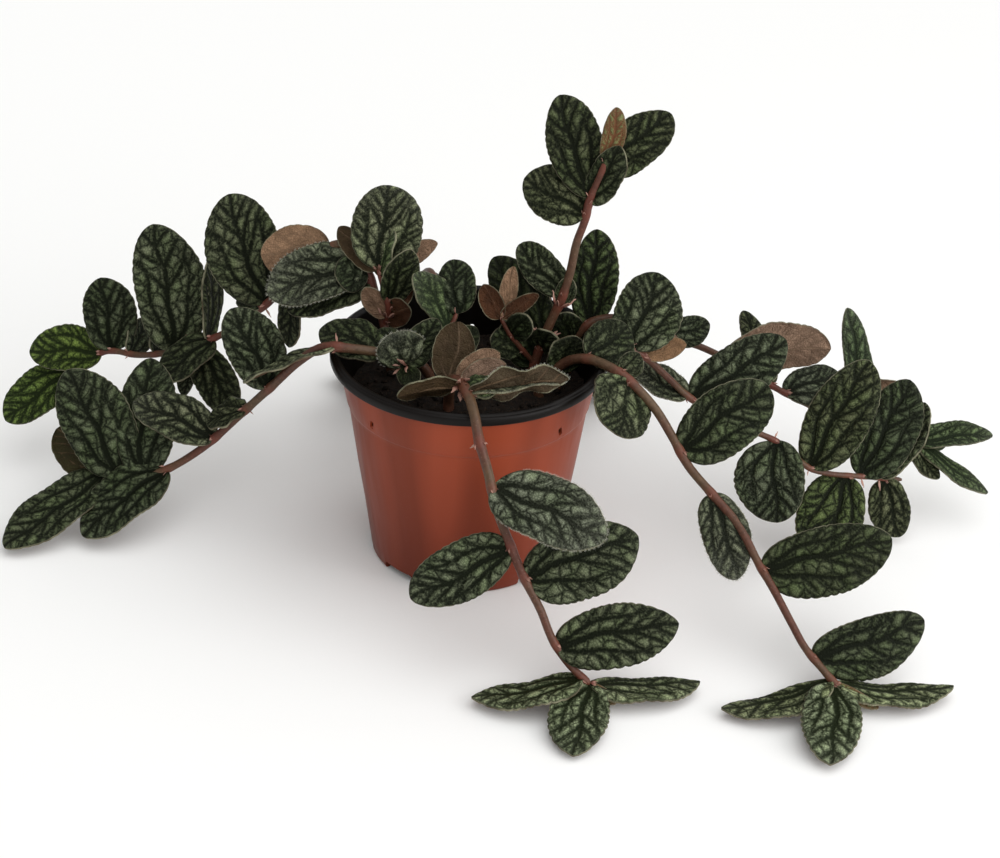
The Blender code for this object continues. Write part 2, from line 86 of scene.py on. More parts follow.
class Recipe:
    """A material in the making, whose nodes are known by name."""

    def __init__(self, name: str) -> None:
        """Start the material.

        Args:
            name: what the finish is and how it was made.
        """
        self.material = bpy.data.materials.new(name)
        self.material.use_nodes = True
        self.tree = self.material.node_tree
        self.outputs: dict[str, bpy.types.NodeSocket] = {}

    def add(self, name: str, kind: str, inputs: dict | tuple = (), out: str | int = 0,
            **settings: object) -> None:
        """Add a node with its settings and links, and keep its output.

        Args:
            name: what later nodes call it.
            kind: type of the node.
            inputs: what feeds each socket, or the first ones in order. A mix takes its share and
                two colours.
            out: the output that is kept.
            settings: properties of the node itself.
        """
        node = self.tree.nodes.new("ShaderNode" + kind)
        if kind == "Mix":
            node.data_type = "RGBA"
            inputs = dict(zip((0, 6, 7), inputs))
            out = 2
        for setting, value in settings.items():
            setattr(node, setting, value)
        self.feed(node, inputs)
        self.outputs[name] = node.outputs[out]

    def feed(self, node: bpy.types.Node, inputs: dict | tuple) -> None:
        """Feed the sockets of a node.

        Args:
            node: the node.
            inputs: a number, a vector, a hex colour or the name of an earlier node for each socket.
        """
        for socket, value in inputs.items() if isinstance(inputs, dict) else enumerate(inputs):
            if isinstance(value, str) and value in self.outputs:
                self.tree.links.new(self.outputs[value], node.inputs[socket])
            else:
                node.inputs[socket].default_value = linear(value) if isinstance(value, str) else value

    def finish(self, colour: str, roughness: float | str, specular: float = 0.5,
               relief: tuple[str, float, float] | None = None) -> Material:
        """Feed the shader.

        Args:
            colour: the surface's hex colour, or the node that gives it.
            roughness: its roughness, or the node that gives it.
            specular: its specular level.
            relief: node that raises the surface, how strongly, and by how many millimetres.

        Returns:
            The finished material.
        """
        inputs = {"Base Color": colour, "Roughness": roughness, "Specular IOR Level": specular}
        if relief:
            height, strength, rise = relief
            self.add("relief", "Bump", {"Height": height, "Strength": strength, "Distance": rise * MM})
            inputs["Normal"] = "relief"
        self.feed(self.tree.nodes["Principled BSDF"], inputs)
        return self.material


def start(primitive: Callable, **sizes: object) -> Object:
    """Add a primitive with nothing else selected.

    Args:
        primitive: operator that adds it.
        sizes: its size and place.

    Returns:
        The new object.
    """
    bpy.ops.object.select_all(action="DESELECT")
    primitive(**sizes)
    return bpy.context.object


@contextmanager
def edit_mode(outwards: bool = True) -> Iterator[None]:
    """Shape the active mesh in edit mode, with all of it selected.

    Args:
        outwards: turn all its faces outwards at the end.
    """
    bpy.ops.object.mode_set(mode="EDIT")
    bpy.ops.mesh.select_all(action="SELECT")
    yield
    if outwards:
        bpy.ops.mesh.select_all(action="SELECT")
        bpy.ops.mesh.normals_make_consistent(inside=False)
    bpy.ops.object.mode_set(mode="OBJECT")


def extrude_rings(steps: list[tuple[float, float]], flat_above: float = math.inf) -> None:
    """Extrude the rim of a disc ring by ring, and close the last ring.

    Args:
        steps: radius and height of each ring, the disc's own first.
        flat_above: a ring that lies higher than this is made level.
    """
    bpy.ops.mesh.select_mode(type="EDGE")
    bpy.ops.mesh.region_to_loop()
    for (wide, low), (radius, high) in zip(steps, steps[1:]):
        grow = radius / wide
        bpy.ops.mesh.extrude_edges_move(
            TRANSFORM_OT_translate={"value": (0.0, 0.0, (high - low) * MM)})
        bpy.ops.transform.resize(value=(grow, grow, 0.0 if high > flat_above else 1.0),
                                 center_override=(0.0, 0.0, high * MM))
    bpy.ops.mesh.edge_face_add()


def join(things: list[Object], name: str) -> Object:
    """Join objects into the first one.

    Args:
        things: mesh objects that sit at the origin.
        name: name of the joined piece.

    Returns:
        The joined object, selected and active.
    """
    bpy.ops.object.select_all(action="DESELECT")
    for thing in things:
        thing.select_set(True)
    bpy.context.view_layer.objects.active = things[0]
    if len(things) > 1:
        bpy.ops.object.join()
    things[0].name = things[0].data.name = name
    return things[0]


def clear_maps(mesh: Mesh) -> None:
    """Remove the UV maps that a primitive brings along."""
    for layer in list(mesh.uv_layers):
        mesh.uv_layers.remove(layer)


def take_mesh(thing: Object) -> Mesh:
    """Keep the mesh of an object as a pattern.

    Args:
        thing: object that is removed.

    Returns:
        Its mesh, without maps.
    """
    mesh = thing.data
    bpy.data.objects.remove(thing)
    clear_maps(mesh)
    return mesh


def thick_sheet(size: tuple[int, int], depth: float) -> Mesh:
    """Model a square sheet from -1 to 1, given its thickness by an extrusion.

    Args:
        size: number of faces along x and y.
        depth: its thickness.

    Returns:
        The closed mesh, with its upper skin at z 0.
    """
    sheet = start(bpy.ops.mesh.primitive_grid_add, x_subdivisions=size[0],
                  y_subdivisions=size[1], size=2.0)
    with edit_mode():
        bpy.ops.mesh.extrude_region_move(TRANSFORM_OT_translate={"value": (0.0, 0.0, -depth)})
    return take_mesh(sheet)


def show(mesh: Mesh, matrix: Matrix | None = None) -> Object:
    """Put a mesh into the scene.

    Args:
        mesh: the object's own mesh.
        matrix: how its points are moved first.

    Returns:
        An object at the origin.
    """
    if matrix is not None:
        mesh.transform(matrix)
    thing = bpy.data.objects.new(mesh.name, mesh)
    bpy.context.scene.collection.objects.link(thing)
    return thing


def to_axes(place: Vector, *axes: Vector) -> Matrix:
    """Give the matrix that lays x, y and z in millimetres on three axes at a place."""
    return Matrix.Translation(place * MM) @ (Matrix(axes).transposed() * MM).to_4x4()


def coordinates(mesh: Mesh) -> np.ndarray:
    """Read the places of a mesh's vertices.

    Args:
        mesh: the mesh.

    Returns:
        Rows of x, y and z.
    """
    values = np.empty(len(mesh.vertices) * 3)
    mesh.vertices.foreach_get("co", values)
    return values.reshape(-1, 3)


def set_coordinates(mesh: Mesh, places: np.ndarray) -> None:
    """Move the vertices of a mesh to new places."""
    mesh.vertices.foreach_set("co", places.astype(np.float32).ravel())
    mesh.update()


def paint(mesh: Mesh, name: str, values: np.ndarray) -> None:
    """Store one number or one colour for each vertex.

    Args:
        mesh: mesh that gets the attribute.
        name: name that the finish reads.
        values: one row for each vertex.
    """
    single = values.ndim == 1
    layer = mesh.attributes.new(name, "FLOAT" if single else "FLOAT_COLOR", "POINT")
    layer.data.foreach_set("value" if single else "color", values.astype(np.float32).ravel())


def finish_piece(piece: Object, material: Material, node: str,
                 smooth: float = 60.0) -> None:
    """Dress a piece, hang it on the root body and hide the CAD node that it replaces.

    Args:
        piece: finished mesh object, selected and active.
        material: its finish.
        node: CAD node that it replaces.
        smooth: edges sharper than this many degrees stay sharp.
    """
    piece.data.materials.clear()
    piece.data.materials.append(material)
    bpy.ops.object.shade_smooth_by_angle(angle=math.radians(smooth))
    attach(piece, "root")
    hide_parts(node)
    log.info("%s: %d vertices", piece.name, len(piece.data.vertices))


@dataclass(frozen=True)
class LeafTone:
    """Colours of one kind of leaf, and how silvery its hairs and painted sheen make it."""

    patch: str
    under: str = "#5f4a38"
    silver: float = 0.04
    band: str = "#0b1004"
    under_vein: str = "#7c6650"


class LeafLook(Enum):
    """Kinds of leaf on the plant, by age and light."""

    PLAIN = LeafTone("#6b7158")
    # DARK, DUSKY and DEEP are painted shade: darker copies of the plain leaf for leaves that lie in
    # shade
    DARK = LeafTone("#5c634a")
    DUSKY = LeafTone("#4e553f")
    DEEP = LeafTone("#3a402b", "#35341f")
    GREEN = LeafTone("#5f6d45")
    PALE = LeafTone("#80866d", silver=0.15)
    SUNLIT = LeafTone("#99a37e", silver=0.12, band="#141b08")
    SILVER = LeafTone("#7f846e", silver=0.32)
    BRIGHT = LeafTone("#788f45", band="#182209")
    FRESH = LeafTone("#6e7f57", "#5a603a", 0.2, "#141e0c")
    OLIVE = LeafTone("#5f6b49", "#483b29")
    # TAUPE and ROSY have painted light: paler undersides for leaves whose undersides face away from
    # the key light
    TAUPE = LeafTone("#5f6b49", "#94755a")
    ROSY = LeafTone("#5f6b49", "#9c806a")
    PINK = LeafTone("#6b6a50", "#90745f")
    RUST = LeafTone("#5f5a38", "#4b3020")
    FROSTED = LeafTone("#7a7d66", "#4b4132", 0.5)
    YOUNG = LeafTone("#8f9364", "#8d8a5c", 0.1, "#6d4630", "#8e3527")


@dataclass(frozen=True)
class Leaf:
    """One leaf, in the same terms as the solid that it stands for."""

    at: float
    tip: Place
    width: float
    look: LeafLook = LeafLook.PLAIN
    face: Place = FRONT
    skew: float = 0.12
    arch: float = 0.02
    fold: float = 0.08
    wave: float = 0.8
    point: float = 0.57
    teeth: float = 1.0
    bud: float = 0.0


@dataclass(frozen=True)
class Branch:
    """A stem or a side shoot: route, thickness at the root and at the end, leaves, bare nodes."""

    route: tuple[Place, ...]
    root: float
    end: float
    leaves: tuple[Leaf, ...]
    bare: tuple[float, ...] = ()


(PLAIN, DARK, DUSKY, DEEP, GREEN, PALE, SUNLIT, SILVER, BRIGHT, FRESH, OLIVE, TAUPE, ROSY, PINK,
 RUST, FROSTED, YOUNG) = LeafLook

STEMS: dict[str, tuple[Branch, ...]] = {}
STEMS["left_front"] = (
    Branch(((-15, -6, 70), (-15, -6, 76), (-15, -6, 83), (-21, -8, 95), (-36, -11, 101),
        (-50, -13, 104), (-62, -11, 103), (-73, -6, 93), (-85, -1, 78), (-100, 4, 60), (-117, 5, 42),
        (-135, 5, 29), (-151, 6, 24), (-166, 12, 22)), 5.0, 3.6, (
        Leaf(36, (-13, 8, 6), 15, DARK), Leaf(44, (-28, 12, 4), 21, DARK, (0, -4, 9)),
        Leaf(64, (-41, 4, -21), 24, PALE, (-4, 3, 9), fold=0.16),
        Leaf(108, (-18, 14, 31), 25, face=(2, -8, 4)),
        Leaf(126, (-18, 2, -9), 20, face=(-4, -1, 9), fold=0.16),
        Leaf(148, (-38, 12, 10), 22, PALE, HIGH), Leaf(176, (-36, -22, -23), 28, DARK, (-2, -5, 9)),
        Leaf(190, (4, 26, 47), 27, DARK), Leaf(200, (-23, 15, 46), 32, DARK),
        Leaf(204, (-27, 15, 14), 24, DEEP, BACK), Leaf(206, (-41, -36, -18), 25, DARK, (-2, -5, 9)),
    )),
    Branch(((-17, -5, 87), (-13, -2, 97), (-9, 2, 106), (-6, 5, 113)), 2.6, 2.0, (
        Leaf(23, (-16, 6, 23), 18, FRESH, (7, -6, 3), fold=0.2),
        Leaf(30, (-2, 14, 19), 17, DARK, point=0.47), Leaf(9, (17, 8, 11), 14, DEEP),
    )),
    Branch(((-21, -8, 95), (-24, -12, 97), (-27, -16, 98)), 2.6, 2.0, (
        Leaf(10, (13, 8, 19), 14, DARK, fold=0.2), Leaf(13, (-6, 3, 14), 21, SILVER, bud=5.0),
        Leaf(13, (5, -9, -4), 10, DEEP, HIGH),
    )),
)
STEMS["left_back"] = (
    Branch(((-35, 15, 70), (-35, 15, 76), (-35, 15, 83), (-38, 20, 98), (-42, 25, 110),
        (-47, 30, 122), (-54, 33, 129), (-62, 36, 128), (-74, 38, 115), (-91, 40, 97), (-104, 42, 85),
        (-119, 45, 74), (-136, 50, 65), (-153, 56, 59), (-170, 62, 57), (-188, 66, 44)), 4.6, 2.8, (
        Leaf(50, (-37, -1, -16), 22, DARK, HIGH),
        Leaf(58, (-42, -6, -14), 26, SILVER, (2, -6, 7), fold=0.2),
        Leaf(62, (-3, -12, -12), 15, DARK, (3, -7, 6)), Leaf(77, (-31, 2, -6), 24, TAUPE, BACK),
        Leaf(80, (-13, -6, -14), 18, PINK, BACK), Leaf(99, (-4, -6, -33), 15, face=(-5, -6, 4)),
        Leaf(120, (-18, 18, 45), 34, PLAIN, FRONT, 0.0), Leaf(122, (-13, 12, -2), 13, DARK, HIGH),
        Leaf(153, (-23, -15, -15), 19, DARK, (-3, -6, 8)),
        Leaf(156, (-1, 25, 31), 16, DARK, (9, -4, 2)), Leaf(163, (19, -16, -27), 19, DARK),
        Leaf(166, (-3, -9, -21), 9), Leaf(175, (-10, 17, 56), 33),
        Leaf(186, (1, 16, 8), 14, DARK, (8, -4, 4)), Leaf(200, (6, 18, 9), 15, face=(8, -4, 4)),
        Leaf(209, (-6, 14, 31), 25, DARK), Leaf(215, (-35, 4, -3), 22, BRIGHT, (0, -8, 6)),
        Leaf(236, (-30, -13, -21), 22, BRIGHT, (0, -7, 7)),
    )),
    Branch(((-38, 20, 98), (-36, 18, 107), (-38, 19, 115), (-41, 24, 124)), 2.8, 2.0, (
        Leaf(6, (-10, -3, 15), 10, PINK, BACK, bud=7.0), Leaf(3, (11, -6, 10), 13, RUST, BACK),
        Leaf(10, (9, 7, 9), 13, RUST, BACK), Leaf(13, (10, 4, 24), 15, DARK, (3, -8, 4), fold=0.2),
        Leaf(25, (2, 14, 21), 14, FRESH, (-7, -6, 3)), Leaf(28, (4, 16, 33), 31, PALE, point=0.48),
        Leaf(28, (-18, 12, 14), 12, OLIVE, BACK), Leaf(28, (25, 14, 7), 10, PINK, BACK),
    )),
)
STEMS["front"] = (
    Branch(((-8, -18, 70), (-8, -18, 76), (-8, -18, 84), (-7, -27, 98), (-3, -39, 104),
        (1, -53, 106), (4, -65, 103), (6, -73, 97), (10, -79, 86), (14, -86, 73), (20, -91, 59),
        (26, -98, 48), (33, -104, 37), (38, -108, 26), (45, -111, 16), (54, -114, 8)), 5.4, 3.4, (
        Leaf(29, (3, 13, 22), 18, OLIVE, BACK), Leaf(42, (17, 11, 8), 12, PINK, BACK),
        Leaf(48, (18, 8, 6), 10, PINK, BACK),
        Leaf(50, (-27, -5, -3), 15, OLIVE, (0, 9, 5), fold=0.3, bud=6.0),
        Leaf(54, (17, 7, 1), 15, FRESH, FLAT), Leaf(58, (40, 9, 2), 16, FROSTED, (0, 2, 9), fold=0.25),
        Leaf(59, (41, 4, 7), 16, FROSTED, BACK_HIGH, fold=0.2, wave=2.2),
        Leaf(103, (46, -21, -9), 29, SILVER, (1, -6, 8), -0.05), Leaf(128, (-40, -12, -19), 24),
        Leaf(142, (46, 14, 13), 31, PLAIN, FRONT, 0.16, point=0.62),
        Leaf(172, (50, 5, 9), 26, point=0.66, teeth=1.4),
        Leaf(190, (-45, -8, -6), 21, SUNLIT, (0, 1, 9), -0.2, -0.03, point=0.68, teeth=2.4),
        Leaf(194, (-7, -40, -5), 24, SUNLIT, FLAT, point=0.68, teeth=2.4),
        Leaf(194, (46, 8, -3), 20, SUNLIT, (0, 1, 9), 0.35, -0.04, point=0.68, teeth=2.4),
        Leaf(194, (11, -7, -4), 6, YOUNG, HIGH),
    ), (84,)),
)
STEMS["right_front"] = (
    Branch(((31, -3, 70), (31, -3, 76), (31, -3, 83), (40, -6, 96), (49, -13, 103), (60, -22, 104),
        (69, -28, 100), (79, -33, 91), (87, -38, 80), (94, -44, 70), (105, -53, 61), (115, -62, 53),
        (123, -72, 42), (130, -82, 34), (137, -92, 25), (142, -99, 19), (149, -105, 13),
        (156, -110, 7)), 5.0, 3.4, (
        Leaf(24, (9, 2, 16), 18, DARK, (4, -7, 3)), Leaf(45, (17, 14, 9), 22, DARK),
        Leaf(62, (8, 7, 6), 11), Leaf(67, (-5, -23, -13), 32, face=(5, -8, 4), point=0.5),
        Leaf(104, (36, 11, 27), 28, DARK, point=0.5),
        Leaf(126, (11, -24, -27), 20, SILVER, FRONT, 0.0, wave=1.4),
        Leaf(164, (54, 8, 12), 29, DUSKY, FRONT, 0.2), Leaf(206, (47, 15, 10), 25, DARK, FRONT, 0.2),
        Leaf(218, (-46, -15, -5), 19, SUNLIT, (0, 1, 9), -0.35, -0.06, point=0.68, teeth=2.4),
        Leaf(220, (-7, -47, -4), 24, SUNLIT, FLAT, point=0.68, teeth=2.4),
        Leaf(220, (50, 5, -3), 19, SUNLIT, (0, 1, 9), 0.35, -0.06, point=0.68, teeth=2.4),
        Leaf(220, (17, -10, -4), 6, YOUNG, HIGH),
    )),
)
STEMS["right_middle"] = (
    Branch(((39, 4, 70), (39, 4, 76), (39, 4, 83), (46, 4, 97), (55, 1, 103), (65, -1, 103),
        (75, 0, 98), (86, 2, 87), (98, 4, 75), (117, 2, 65), (137, 2, 56), (151, 2, 44), (161, 5, 39),
        (175, 10, 35), (197, 18, 29)), 4.0, 2.4, (
        Leaf(54, (12, 20, 27), 29), Leaf(61, (19, 4, 4), 10, TAUPE, BACK),
        Leaf(92, (-26, 4, 11), 15, SILVER, HIGH, fold=0.2),
        Leaf(94, (41, 15, 23), 25, PLAIN, FRONT, 0.05), Leaf(136, (2, -24, -28), 31),
        Leaf(158, (23, 14, 48), 28, DARK), Leaf(179, (-13, -26, -31), 30, GREEN),
        Leaf(186, (21, 23, 38), 27, DUSKY), Leaf(196, (21, 23, 27), 18, DARK, (-6, -6, 4)),
        Leaf(199, (9, -7, -27), 19),
    )),
)
STEMS["right_back"] = (
    Branch(((43, 19, 70), (43, 19, 76), (43, 19, 84), (47, 19, 97), (54, 20, 104), (66, 21, 105),
        (78, 24, 100), (90, 27, 93), (103, 30, 87), (118, 31, 79), (137, 32, 67), (149, 33, 60),
        (163, 34, 53), (179, 36, 45), (193, 38, 39), (209, 42, 34)), 4.4, 2.4, (
        Leaf(34, (3, 20, 37), 21, GREEN), Leaf(22, (-7, -3, 17), 15, DEEP), Leaf(74, (19, 8, 2), 14),
        Leaf(104, (48, 6, 4), 28, ROSY, (0, 9, 2)), Leaf(130, (-13, 24, 25), 14, face=(3, -6, 5)),
        Leaf(138, (26, 15, 3), 20, PALE, HIGH), Leaf(154, (41, 10, 7), 16, ROSY, (0, 9, 2)),
        Leaf(184, (-13, 22, 52), 14, FRESH, (2, -9, 4)), Leaf(206, (14, -9, -14), 10, face=(0, -4, 8)),
        Leaf(208, (37, 4, 3), 13, FRESH, HIGH, -0.3), Leaf(210, (33, -13, -18), 10, FRESH, (0, -3, 9)),
        Leaf(210, (15, 4, -1), 8, FRESH),
    )),
)
STEMS["upright"] = (
    Branch(((27, 9, 70), (27, 9, 76), (27, 9, 83), (31, 10, 97), (35, 12, 108), (39, 13, 118),
        (42, 14, 130), (44, 15, 143), (47, 16, 153), (49, 17, 163), (53, 18, 174),
        (55, 19, 180)), 5.0, 3.4, (
        Leaf(30, (-23, 20, 29), 22, DEEP, bud=8.0), Leaf(25, (5, -9, 13), 14, DARK),
        Leaf(17, (-14, -3, 22), 17, DEEP), Leaf(47, (4, 1, 13), 9, DARK, bud=6.0),
        Leaf(52, (-20, 9, 19), 16, point=0.5), Leaf(90, (-27, 8, 12), 24),
        Leaf(95, (12, 1, 26), 15, DARK, (-4, -8, 2)), Leaf(98, (-15, 21, 37), 24, DARK),
        Leaf(111, (28, 12, 21), 21, DARK), Leaf(114, (4, 10, 21), 10, YOUNG),
    )),
    Branch(((28, 9, 88), (23, 7, 95), (17, 5, 104), (13, 4, 112)), 2.8, 2.0, (
        Leaf(9, (-14, -4, 8), 15, DARK), Leaf(18, (6, -6, 14), 12, DEEP),
        Leaf(30, (-8, 4, 14), 10, RUST, BACK, fold=-0.3),
        Leaf(30, (5, 12, 19), 8, PINK, BACK, fold=-0.2),
        Leaf(30, (16, 4, 10), 7, RUST, BACK, fold=-0.3),
    )),
)
STEMS["behind_left"] = (
    Branch(((-12, 35, 70), (-12, 35, 76), (-12, 35, 84), (-14, 42, 98), (-17, 51, 104),
        (-20, 62, 104), (-24, 72, 96), (-28, 82, 81), (-31, 93, 63), (-34, 103, 45), (-38, 112, 28),
        (-42, 121, 14), (-47, 130, 7)), 4.6, 3.0, (
        Leaf(44, (-24, 16, -6), 22, face=REAR), Leaf(70, (18, 24, -10), 22, DARK, REAR),
        Leaf(88, (-34, 18, -8), 26, face=REAR), Leaf(110, (22, 26, -16), 24, face=REAR),
        Leaf(132, (-34, 18, -14), 25, BRIGHT, REAR), Leaf(152, (26, 22, -12), 23, face=REAR),
        Leaf(166, (-28, 22, -3), 20, face=FLAT), Leaf(168, (2, 40, -3), 24, face=FLAT),
        Leaf(168, (34, 16, -3), 22, PALE, FLAT),
    )),
)
STEMS["behind_right"] = (
    Branch(((18, 37, 70), (18, 37, 76), (18, 37, 84), (21, 43, 98), (24, 52, 104), (28, 63, 104),
        (31, 73, 96), (35, 84, 80), (38, 95, 61), (41, 104, 44), (45, 113, 27), (49, 121, 14),
        (54, 129, 7)), 4.6, 3.0, (
        Leaf(44, (22, 16, -6), 22, face=REAR), Leaf(75, (-16, 24, -8), 20, DARK, REAR),
        Leaf(96, (28, 18, -12), 25, face=REAR), Leaf(118, (-20, 26, -16), 22, PALE, REAR),
        Leaf(138, (28, 20, -14), 24, face=REAR), Leaf(158, (-20, 26, -10), 22, face=REAR),
        Leaf(169, (28, 22, -3), 20, face=FLAT), Leaf(171, (4, 38, -3), 23, face=FLAT),
    )),
)


class Curve:
    """A smooth curve through the points of a route, as the solid stem follows it."""

    steps = 8

    def __init__(self, route: Iterable[Place]) -> None:
        """Work out points a few millimetres apart.

        Args:
            route: points that the curve passes through, in millimetres.
        """
        given = [Vector(point) for point in route]
        ends = [given[0] * 2.0 - given[1]] + given + [given[-1] * 2.0 - given[-2]]
        self.points: list[Vector] = []
        for a, b, c, d in zip(ends, ends[1:], ends[2:], ends[3:]):
            for step in range(self.steps):
                t = step / self.steps
                square = (2.0 * a - 5.0 * b + 4.0 * c - d) * t * t
                cube = (3.0 * b - a - 3.0 * c + d) * t * t * t
                self.points.append((2.0 * b + (c - a) * t + square + cube) * 0.5)
        self.points.append(given[-1])
        self.length = sum((b - a).length for a, b in zip(self.points, self.points[1:]))

    def place(self, distance: float) -> tuple[Vector, Vector]:
        """Find a point on the curve.

        Args:
            distance: millimetres along the curve.

        Returns:
            The point and the direction of the curve there.
        """
        left = distance
        for a, b in zip(self.points, self.points[1:]):
            length = (b - a).length
            if left <= length:
                return a.lerp(b, left / length), (b - a).normalized()
            left -= length
        return self.points[-1].copy(), (self.points[-1] - self.points[-2]).normalized()


@dataclass(frozen=True)
class LeafFinish:
    """Grown leaf blade: near-black bands on the veins, pale netted patches and a brown underside."""

    net_line: str = "#222b14"
    live_green: str = "#647a47"
    pale_rim: str = "#8a8870"
    # also the colour of the painted sheen on silver leaves
    hair: str = "#8f9182"
    under_net: str = "#33241a"
    patch_mm: float = 5.8
    net_mm: float = 1.15
    ragged_mm: float = 2.2
    mottle_mm: float = 1.0
    bend_mm: float = 8.0
    live_mm: float = 11.0
    # real hairs are a tenth of this; the tufts are drawn as coarse as they need to show
    hair_mm: float = 0.7
    roughness: float = 0.55

    def material(self) -> Material:
        """Build the material, which reads the leaf's own map and attributes.

        Returns:
            The finish of both sides.
        """
        recipe = Recipe("grown_leaf_blade")
        add = recipe.add
        add("flat", "UVMap", uv_map="leaf_plane")
        for name in ("vein_gap", "rim_gap", "underside", "ladder", "hairiness"):
            add(name, "Attribute", out="Fac", attribute_name=name)
        for name in ("upper_colour", "under_colour", "band_colour", "vein_colour"):
            add(name, "Attribute", attribute_name=name)
        # the map holds a hundredth for each millimetre, so a cell of n mm has a scale of 100 / n
        for name, size, detail in (("ragged", self.ragged_mm, 3.0), ("bend", self.bend_mm, 1.0),
                                   ("mottle", self.mottle_mm, 2.0), ("live", self.live_mm, 1.0),
                                   ("fuzz", self.hair_mm, 2.0)):
            add(name, "TexNoise", {"Vector": "flat", "Scale": 100.0 / size, "Detail": detail})
        add("shade", "MapRange", ("bend", 0.3, 0.7, 0.75, 1.2))
        self.draw_pattern(add)
        self.colour_upper_side(add)
        self.colour_underside(add)
        add("colour", "Mix", ("underside", "upper", "under"))
        # the thin margin is pale where it is worn, on both sides
        add("worn", "MapRange", ("bend", 0.35, 0.6, 0.15, 0.75))
        add("rim", "MapRange", ("rim_gap", 0.1, 0.45, "worn", 0.0))
        add("rimmed", "Mix", ("rim", "colour", self.pale_rim))
        # patches stand up a little between the veins, in millimetres
        add("raised", "Math", ("core", 0.9), operation="MULTIPLY")
        add("grained", "Math", ("net", -0.12, "raised"), operation="MULTIPLY_ADD")
        return recipe.finish("rimmed", self.roughness, 0.08, ("grained", 1.0, 1.0))

    def draw_pattern(self, add: Callable) -> None:
        """Draw the vein bands, the rungs between them and the fine net.

        Args:
            add: adds a node to the recipe.
        """
        add("gap", "Math", ("ragged", 1.8, "vein_gap"), operation="MULTIPLY_ADD")
        add("from_vein", "MapRange", ("gap", 0.5, 2.6))
        add("bent", "Math", ("bend", 3.2, "ladder"), operation="MULTIPLY_ADD")
        add("frayed", "Math", ("ragged", 0.7, "bent"), operation="MULTIPLY_ADD")
        add("rung", "Math", ("frayed", 1.0), operation="PINGPONG")
        add("from_rung", "MapRange", ("rung", -0.3, 0.55))
        add("offset", "CombineXYZ", ("ragged", "bend"))
        add("warp", "VectorMath", ("offset", (0.02, 0.03, 0.0), "flat"), operation="MULTIPLY_ADD")
        for name, size, random_share in (("patches", self.patch_mm, 0.85), ("nets", self.net_mm, 0.9)):
            add(name, "TexVoronoi",
                {"Vector": "warp", "Scale": 100.0 / size, "Randomness": random_share},
                feature="DISTANCE_TO_EDGE", voronoi_dimensions="2D")
        add("from_split", "MapRange", ("patches", -0.08, 0.3))
        add("net", "MapRange", ("nets", 0.02, 0.25, 1.0, 0.0), interpolation_type="SMOOTHSTEP")
        add("rim", "Math", ("ragged", 1.4, "rim_gap"), operation="MULTIPLY_ADD")
        add("from_rim", "MapRange", ("rim", 0.8, 1.9, 0.1))
        # the core of a patch is 1, and falls to 0 on what bounds it, with a feathered edge
        add("core", "Math", ("from_vein", "from_rung"), operation="MINIMUM")
        for bound in ("from_split", "from_rim"):
            add("core", "Math", ("core", bound), operation="MINIMUM")
        add("feather", "Math", ("mottle", 0.9, "core"), operation="MULTIPLY_ADD")
        add("dark", "MapRange", ("feather", 0.5, 1.35, 1.0, 0.0), interpolation_type="SMOOTHSTEP")

    def colour_upper_side(self, add: Callable) -> None:
        """Colour the upper side.

        Args:
            add: adds a node to the recipe.
        """
        # a painted highlight makes a patch palest in its raised middle, and some patches have lost
        # their green and are grey
        add("centred", "MapRange", ("core", 0.2, 1.0, 0.6, "shade"))
        add("green", "MapRange", ("live", 0.42, 0.68, 0.0, 0.28))
        add("mixed", "Mix", ("green", "upper_colour", self.live_green))
        add("patch", "Mix", (1.0, "mixed", "centred"), blend_type="MULTIPLY")
        add("line", "Math", ("net", 0.5), operation="MULTIPLY")
        add("netted", "Mix", ("line", "patch", self.net_line))
        add("banded", "Mix", ("dark", "netted", "band_colour"))
        # fine silver hairs show on young leaves, most of all near their tips and margins, where their
        # silver is also a painted sheen
        add("tufts", "MapRange", ("fuzz", 0.4, 0.7, 0.15, 1.0))
        add("hairs", "Math", ("tufts", "hairiness"), operation="MULTIPLY")
        add("upper", "Mix", ("hairs", "banded", self.hair))

    def colour_underside(self, add: Callable) -> None:
        """Colour the underside, which is plain but for paler veins that stand out.

        Args:
            add: adds a node to the recipe.
        """
        add("skin", "Mix", (1.0, "under_colour", "shade"), blend_type="MULTIPLY")
        add("line", "Math", ("net", 0.3), operation="MULTIPLY")
        add("netted", "Mix", ("line", "skin", self.under_net))
        add("seam", "MapRange", ("core", 0.0, 0.5, 0.4, 0.0))
        add("seamed", "Mix", ("seam", "netted", self.under_net))
        add("ridge", "MapRange", ("vein_gap", -0.7, 0.0, 0.6, 0.0), interpolation_type="SMOOTHSTEP")
        add("under", "Mix", ("ridge", "seamed", "vein_colour"))


